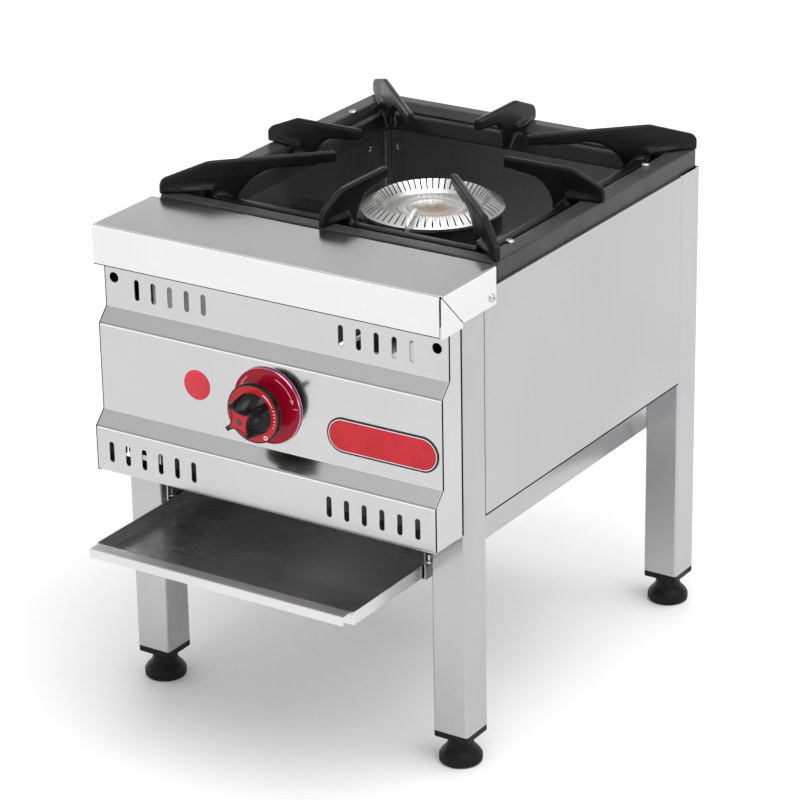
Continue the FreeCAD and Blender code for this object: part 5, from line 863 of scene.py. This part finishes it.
centre = knob_axis + Vector((0, front + RING_SINK, 0))
off = centre + Matrix.Rotation(OFF_TURN, 3, "Y") @ Vector((OFF_RADIUS, 0, 0))
marks = [arc_mark(centre, SCALE_RADIUS, *SCALE_ARC), arc_mark(off, OFF_RING, OFF_WIDTH, -180, 180)]
for index in range(TICKS):
    middle = TICK_FIRST - TICK_PITCH * index
    width = (TICK_WIDTH - TICK_LOSS * index) * MM
    marks.append(arc_mark(centre, SCALE_RADIUS, width, middle + TICK_HALF, middle - TICK_HALF))
printed("knob_marks", marks, knob_white, "knob", "red_plastic")

# ---------------------------------------------------------------- screws
# Zinc plated pan head screws with a cross recess. They hold the hob, the apron, the panels
# and the tray's runners to the legs.
HEAD_HEIGHT = 2.4 * MM
HEAD_STEPS = 32
HEAD_ROUND = ((0.97, 0.0), (1.0, 0.12), (0.97, 0.45), (0.86, 0.78), (0.70, 0.95),
              (0.60, 1.0))  # shares of the head's radius and height
SHANK_RADIUS = 2.0 * MM
CROSS_ARM, CROSS_WIDTH = 0.52, 0.15  # shares of the head's radius
CROSS_TAPER = 0.7
RECESS_FLOOR = 0.05  # height of the recess's floor, as a share of the head's
END_DEPTH = 0.1 * MM  # points this close to a screw's end belong to it


def bright_metal(name, colour, smoothest, roughest):
    """Plated or machined metal with fine uneven gloss."""
    material, tree, shader = new_material(name, metallic=1.0)
    patchy_gloss(tree, shader, 60.0, smoothest, roughest)
    patchy_colour(tree, shader, colour, 18.0, 0.85, 1.05)
    relief_of(tree, shader, fine_noise(tree, 500.0), 0.08, 0.2 * MM)
    return material


def merged_copy(name):
    """A welded copy of a CAD node's mesh, with the flat faces joined up."""
    mesh = bmesh.new()
    mesh.from_mesh(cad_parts[name].data)
    bmesh.ops.remove_doubles(mesh, verts=mesh.verts, dist=0.002 * MM)
    bmesh.ops.dissolve_limit(mesh, angle_limit=math.radians(0.4), verts=mesh.verts,
                             edges=mesh.edges)
    return mesh


def solids(name):
    """The corner points of each loose solid of a CAD node."""
    mesh = merged_copy(name)
    found = []
    left = set(mesh.verts)
    while left:
        queue, group = [left.pop()], []
        while queue:
            vert = queue.pop()
            group.append(vert.co.copy())
            ahead = {edge.other_vert(vert) for edge in vert.link_edges} & left
            left -= ahead
            queue += ahead
        found.append(group)
    mesh.free()
    return found


def pan_screw(radius, length):
    """A pan head screw along Z with its head up, its seat at the origin and a cross recess."""
    profile = [(0.0, -length), (SHANK_RADIUS, -length), (SHANK_RADIUS, 0.0)]
    profile += [(share * radius, rise * HEAD_HEIGHT) for share, rise in HEAD_ROUND]
    mesh = spun(profile, (0, 0, 0), HEAD_STEPS)
    brim = [edge for edge in mesh.edges if edge.is_boundary]
    arm, width = CROSS_ARM * radius, CROSS_WIDTH * radius / 2
    quarter = [Vector((arm, -width, HEAD_HEIGHT)), Vector((arm, width, HEAD_HEIGHT)),
               Vector((width, width, HEAD_HEIGHT))]
    cross = [mesh.verts.new(Matrix.Rotation(math.pi / 2 * turn, 3, "Z") @ point)
             for turn in range(4) for point in quarter]
    recess = [mesh.edges.new(pair) for pair in zip(cross, cross[1:] + cross[:1])]
    bmesh.ops.triangle_fill(mesh, use_beauty=True, use_dissolve=False, edges=brim + recess,
                            normal=(0, 0, 1))
    walls = bmesh.ops.extrude_edge_only(mesh, edges=recess)["geom"]
    floor_verts = among(walls, bmesh.types.BMVert)
    bmesh.ops.translate(mesh, vec=(0, 0, (RECESS_FLOOR - 1) * HEAD_HEIGHT), verts=floor_verts)
    bmesh.ops.scale(mesh, vec=(CROSS_TAPER, CROSS_TAPER, 1), verts=floor_verts)
    bmesh.ops.edgeloop_fill(mesh, edges=among(walls, bmesh.types.BMEdge))
    bmesh.ops.recalc_face_normals(mesh, faces=mesh.faces)
    return mesh


screw_zinc = bright_metal("screw_zinc", (0.62, 0.62, 0.60), 0.16, 0.28)
for name in ("hob_screws", "apron_screws", "panel_screws", "runner_screws"):
    screws = []
    for group in solids(name):
        low = Vector([min(point[i] for point in group) for i in range(3)])
        high = Vector([max(point[i] for point in group) for i in range(3)])
        middle, extent = (low + high) / 2, high - low
        axis = max(range(3), key=lambda i: extent[i])
        radius = max(extent[i] for i in range(3) if i != axis) / 2
        end = [point - middle for point in group if point[axis] < low[axis] + END_DEPTH]
        for point in end:
            point[axis] = 0
        out = Vector((0, 0, 0))
        out[axis] = -1 if max(point.length for point in end) > 0.8 * radius else 1
        seat = middle + out * (extent[axis] / 2 - HEAD_HEIGHT)
        turn = out.to_track_quat("Z", "Y").to_matrix().to_4x4()
        screw = pan_screw(radius, extent[axis] - HEAD_HEIGHT)
        bmesh.ops.transform(screw, verts=screw.verts, matrix=Matrix.Translation(seat) @ turn)
        screws.append(screw)
    piece(f"fine_{name}", joined(screws), screw_zinc, "frame", "zinc", name, smooth=40.0)

# ---------------------------------------------------------------- burner
# A slotted crown of bright machined aluminium on a black cast bowl, with a heat-tinted
# steel dish in its middle. Two bolts hold the bowl to angles across the body.
CAST_ANGLE = math.radians(32)
DISH_STEPS = 96
DISH_BUTTON = ((0.0, 0.0), (2.2, 0.05), (3.0, 0.6))  # radius and drop in millimetres
# share of the radius, and millimetres below the top or above the lowest point
DISH_BOWL = ((0.25, 0.9), (0.42, 1.5), (0.58, 2.4), (0.70, 3.3), (0.80, 4.2))
DISH_RIM = ((0.86, 1.4), (0.985, 1.4), (1.0, 1.0), (1.0, 0.0), (0.88, 0.0))
DISH_UNDER = ((0.62, 4.3), (0.0, 2.4))
HEAT_PLACE = Vector((9, -5, 0)) * MM  # off the dish's middle
HEAT_START, HEAT_WANDER = 8.0 * MM, 16.0 * MM
HEAT_COLOURS = ((0.0, (0.40, 0.30, 0.21)), (0.35, (0.56, 0.47, 0.36)), (0.6, (0.74, 0.72, 0.70)),
                (1.0, (0.78, 0.77, 0.75)))


def softened(name, body, material, slot, width, segments=2):
    """A welded copy of a CAD node with its sharp edges rounded off."""
    part = piece(f"fine_{name}", merged_copy(name), material, body, slot, name, smooth=40.0)
    edge = eased(part, width, segments, CAST_ANGLE)
    edge.use_clamp_overlap = True
    edge.harden_normals = True


def iron_casting(name, colour, smoothest, roughest, relief=0.35, shine=0.5):
    """A sand casting under thin enamel: pebbly skin, uneven gloss, colour paler and darker in
    patches.
    """
    material, tree, shader = new_material(name, shine)
    pebbles, lumps = fine_noise(tree, 260.0, 4.0, 0.6), fine_noise(tree, 45.0)
    height = add(tree, "ShaderNodeMath", {0: pebbles, 1: lumps}, operation="ADD")
    patchy_gloss(tree, shader, 22.0, smoothest, roughest)
    patchy_colour(tree, shader, colour, 35.0, 0.75, 1.3)
    relief_of(tree, shader, height.outputs["Value"], relief, 0.5 * MM)
    return material


def shaded(ramp, stops):
    """Sets the stops of a colour ramp, which run from 0 to 1, and gives its colour."""
    elements = ramp.color_ramp.elements
    elements[0].color, elements[1].color = (*stops[0][1], 1), (*stops[-1][1], 1)
    for place, colour in stops[1:-1]:
        elements.new(place).color = (*colour, 1)
    return ramp.outputs["Color"]


crown_metal = bright_metal("crown_metal", (0.60, 0.60, 0.59), 0.26, 0.34)
bowl_iron = iron_casting("bowl_iron", (0.014, 0.014, 0.014), 0.32, 0.5)
softened("burner_crown", "frame", crown_metal, "burner_crown", 0.15 * MM)
softened("burner_bowl", "frame", bowl_iron, "burner_cast", 1.2 * MM, 3)
softened("mixing_tube", "frame", bowl_iron, "burner_cast", 0.6 * MM)

low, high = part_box("burner_dish")
dish_middle, dish_radius = (low + high) / 2, (high.x - low.x) / 2
dish_steel, tree, shader = new_material("dish_steel", metallic=1.0, roughness=0.27)
where = add(tree, "ShaderNodeTexCoord").outputs["Object"]
place = add(tree, "ShaderNodeVectorMath", {0: where, 1: dish_middle + HEAT_PLACE},
            operation="SUBTRACT")
reach = add(tree, "ShaderNodeVectorMath", {0: place.outputs["Vector"]}, operation="LENGTH")
wander = add(tree, "ShaderNodeMath", {0: fine_noise(tree, 40.0, 3.0), 1: HEAT_WANDER,
                                      2: reach.outputs["Value"]}, operation="MULTIPLY_ADD")
burnt = add(tree, "ShaderNodeMapRange", {"Value": wander.outputs["Value"],
                                         "From Min": HEAT_START,
                                         "From Max": dish_radius + HEAT_START})
heat = add(tree, "ShaderNodeValToRGB", {"Fac": burnt.outputs["Result"]})
tree.links.new(shaded(heat, HEAT_COLOURS), shader["Base Color"])
profile = [(reach * MM, high.z - drop * MM) for reach, drop in DISH_BUTTON]
profile += [(share * dish_radius, high.z - drop * MM) for share, drop in DISH_BOWL]
profile += [(share * dish_radius, low.z + rise * MM) for share, rise in DISH_RIM]
profile += [(share * dish_radius, high.z - drop * MM) for share, drop in DISH_UNDER]
dish = spun(profile, Vector((dish_middle.x, dish_middle.y, 0)), DISH_STEPS)
piece("burner_centre", dish, dish_steel, "frame", "dish_steel", "burner_dish", smooth=50.0)

# ---------------------------------------------------------------- pan support
# A cast grate under black enamel: a square frame in the hob's opening and eight fingers
# that stand on the hob's rim.
GRATE_VOXEL = 1.7 * MM
GRATE_ROUNDS = 5  # passes of smoothing, which round the edges and fill the corners

grate_iron = iron_casting("grate_iron", (0.004, 0.004, 0.0043), 0.30, 0.42, relief=0.3,
                          shine=0.2)
grate = piece("cast_pan_support", merged_copy("pan_support"), grate_iron, "pan_support",
              "cast_black", "pan_support", smooth=180.0)
remade = grate.modifiers.new("casting", "REMESH")
remade.mode = "VOXEL"
remade.voxel_size = GRATE_VOXEL
remade.use_smooth_shade = True
rounded = grate.modifiers.new("rounding", "SMOOTH")
rounded.factor = 0.5
rounded.iterations = GRATE_ROUNDS

# ---------------------------------------------------------------- drip tray and runners
# The tray is bent from thin bright sheet, with a folded lip to pull it by. It slides on
# the ledges of two folded strips between the legs.
TRAY_SHEET = 1.0 * MM
TRAY_LIP_DEPTH, TRAY_LIP_DROP, TRAY_LIP_SHORT = 14.5 * MM, 10.0 * MM, 3.0 * MM
RUNNER_EDGE = 0.4 * MM

tray_steel = sheet_steel("tray_steel", (0.66, 0.66, 0.665), 0.26, 0.31, along="X", relief=0.01)
low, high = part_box("drip_tray")
wall_y = low.y + TRAY_LIP_DEPTH
pan = folded_box((low.x, wall_y, low.z), high, (0, 0, 1))
sheet_of(piece("sliding_tray", pan, tray_steel, "drip_tray", "tray_steel", "drip_tray"),
         TRAY_SHEET, tray_steel)
section = [(low.y, high.z - TRAY_LIP_DROP), (low.y, high.z), (wall_y + TRAY_SHEET, high.z)]
lip = folded(section, 0, low.x + TRAY_LIP_SHORT, high.x - TRAY_LIP_SHORT, FOLD_RADIUS)
turned_out(lip, (0, wall_y, low.z))
sheet_of(piece("tray_lip", lip, tray_steel, "drip_tray", "tray_steel"), TRAY_SHEET, tray_steel)
for side in ("left", "right"):
    softened(f"tray_runner_{side}", "frame", side_steel, "stainless", RUNNER_EDGE)

# ---------------------------------------------------------------- inside
# Valve, pipes, injector and rails keep their CAD shapes and get their own metals, and so
# do the thermocouple and the studs of the feet.
brass = bright_metal("machined_brass", (0.78, 0.58, 0.28), 0.22, 0.36)
pipe_metal = bright_metal("pipe_metal", (0.62, 0.61, 0.60), 0.28, 0.42)
probe_metal = bright_metal("probe_metal", (0.97, 0.96, 0.94), 0.42, 0.5)
plated = bright_metal("plated_steel", (0.30, 0.30, 0.30), 0.35, 0.5)
stud_zinc = bright_metal("stud_zinc", (0.62, 0.62, 0.60), 0.25, 0.4)
for metal, names in (
        (brass, ("injector_holder", "injector", "gas_inlet", "gas_valve", "valve_nuts",
                 "valve_plunger", "valve_stem", "pipe_nuts")),
        (pipe_metal, ("supply_pipe", "feed_pipe")),
        (probe_metal, ("thermocouple",)),
        (plated, ("front_rail", "burner_rail_front", "burner_rail_rear", "burner_bolts",
                  "air_shutter", "valve_spring", "thermocouple_clip")),
        (stud_zinc, tuple(f"foot_stud_{corner}" for corner in CORNERS))):
    for name in names:
        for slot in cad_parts[name].material_slots:
            slot.link = "OBJECT"
            slot.material = metal

# ---------------------------------------------------------------- floor, light and camera
# A pale studio floor under a soft grey sky that is brighter at the horizon and overhead.
# A broad soft sun from above lights the floor, and the camera stands where the photo's did.
CAMERA_TURN, CAMERA_RISE, CAMERA_ROLL = (math.radians(angle) for angle in (33.19, 22.45, 1.02))
CAMERA_PLACE = Vector((1.7649, -2.6772, 1.6218))
FOCAL_PIXELS, PHOTO_PIXELS = 3320.5, 800
SENSOR_WIDTH, VIEW_LENGTH = 36.0, 50.0
FLOOR_SIZE = 40.0
SKY = ((0.0, 2.3), (0.13, 1.9), (0.24, 0.8), (0.33, 0.52), (0.52, 0.52), (0.70, 0.80),
       (1.0, 1.1))  # height and brightness
SUN_DIRECTION = Vector((0.35, -0.1, 0.93))
SUN_STRENGTH, SUN_SPREAD = 1.8, math.radians(55)

camera_data = bpy.data.cameras.new("camera")
camera_data.sensor_width = SENSOR_WIDTH
camera_data.lens = SENSOR_WIDTH * FOCAL_PIXELS / PHOTO_PIXELS
camera_data.clip_end = VIEW_LENGTH
back = Vector((math.sin(CAMERA_TURN) * math.cos(CAMERA_RISE),
               -math.cos(CAMERA_TURN) * math.cos(CAMERA_RISE), math.sin(CAMERA_RISE)))
right = Vector((math.cos(CAMERA_TURN), math.sin(CAMERA_TURN), 0))
up = right.cross(-back)
rolled_right = math.cos(CAMERA_ROLL) * right - math.sin(CAMERA_ROLL) * up
rolled_up = math.sin(CAMERA_ROLL) * right + math.cos(CAMERA_ROLL) * up
camera = bpy.data.objects.new("camera", camera_data)
turn = Matrix((rolled_right, rolled_up, back)).transposed()
camera.matrix_world = Matrix.Translation(CAMERA_PLACE) @ turn.to_4x4()
bpy.context.scene.collection.objects.link(camera)
bpy.context.scene.camera = camera

bpy.ops.mesh.primitive_plane_add(size=FLOOR_SIZE, location=(0, 0, 0))
studio_floor = bpy.context.object
studio_floor.name = "studio_floor"
floor_paint, tree, shader = new_material("floor_paint", roughness=0.6)
patchy_colour(tree, shader, (0.90, 0.90, 0.90), 1.5, 0.98, 1.0)
studio_floor.data.materials.append(floor_paint)

world = bpy.data.worlds.new("studio")
bpy.context.scene.world = world
world.use_nodes = True
tree = world.node_tree
where = add(tree, "ShaderNodeTexCoord").outputs["Generated"]
height = add(tree, "ShaderNodeSeparateXYZ", {"Vector": where}).outputs["Z"]
sky = add(tree, "ShaderNodeValToRGB", {"Fac": height})
sky_colour = shaded(sky, [(rise, (grey, grey, grey)) for rise, grey in SKY])
tree.links.new(sky_colour, tree.nodes["Background"].inputs["Color"])

sun_data = bpy.data.lights.new("soft_sun", "SUN")
sun_data.energy = SUN_STRENGTH
sun_data.angle = SUN_SPREAD
sun = bpy.data.objects.new("soft_sun", sun_data)
sun.matrix_world = SUN_DIRECTION.to_track_quat("Z", "Y").to_matrix().to_4x4()
bpy.context.scene.collection.objects.link(sun)

bpy.context.scene.view_settings.view_transform = "Standard"
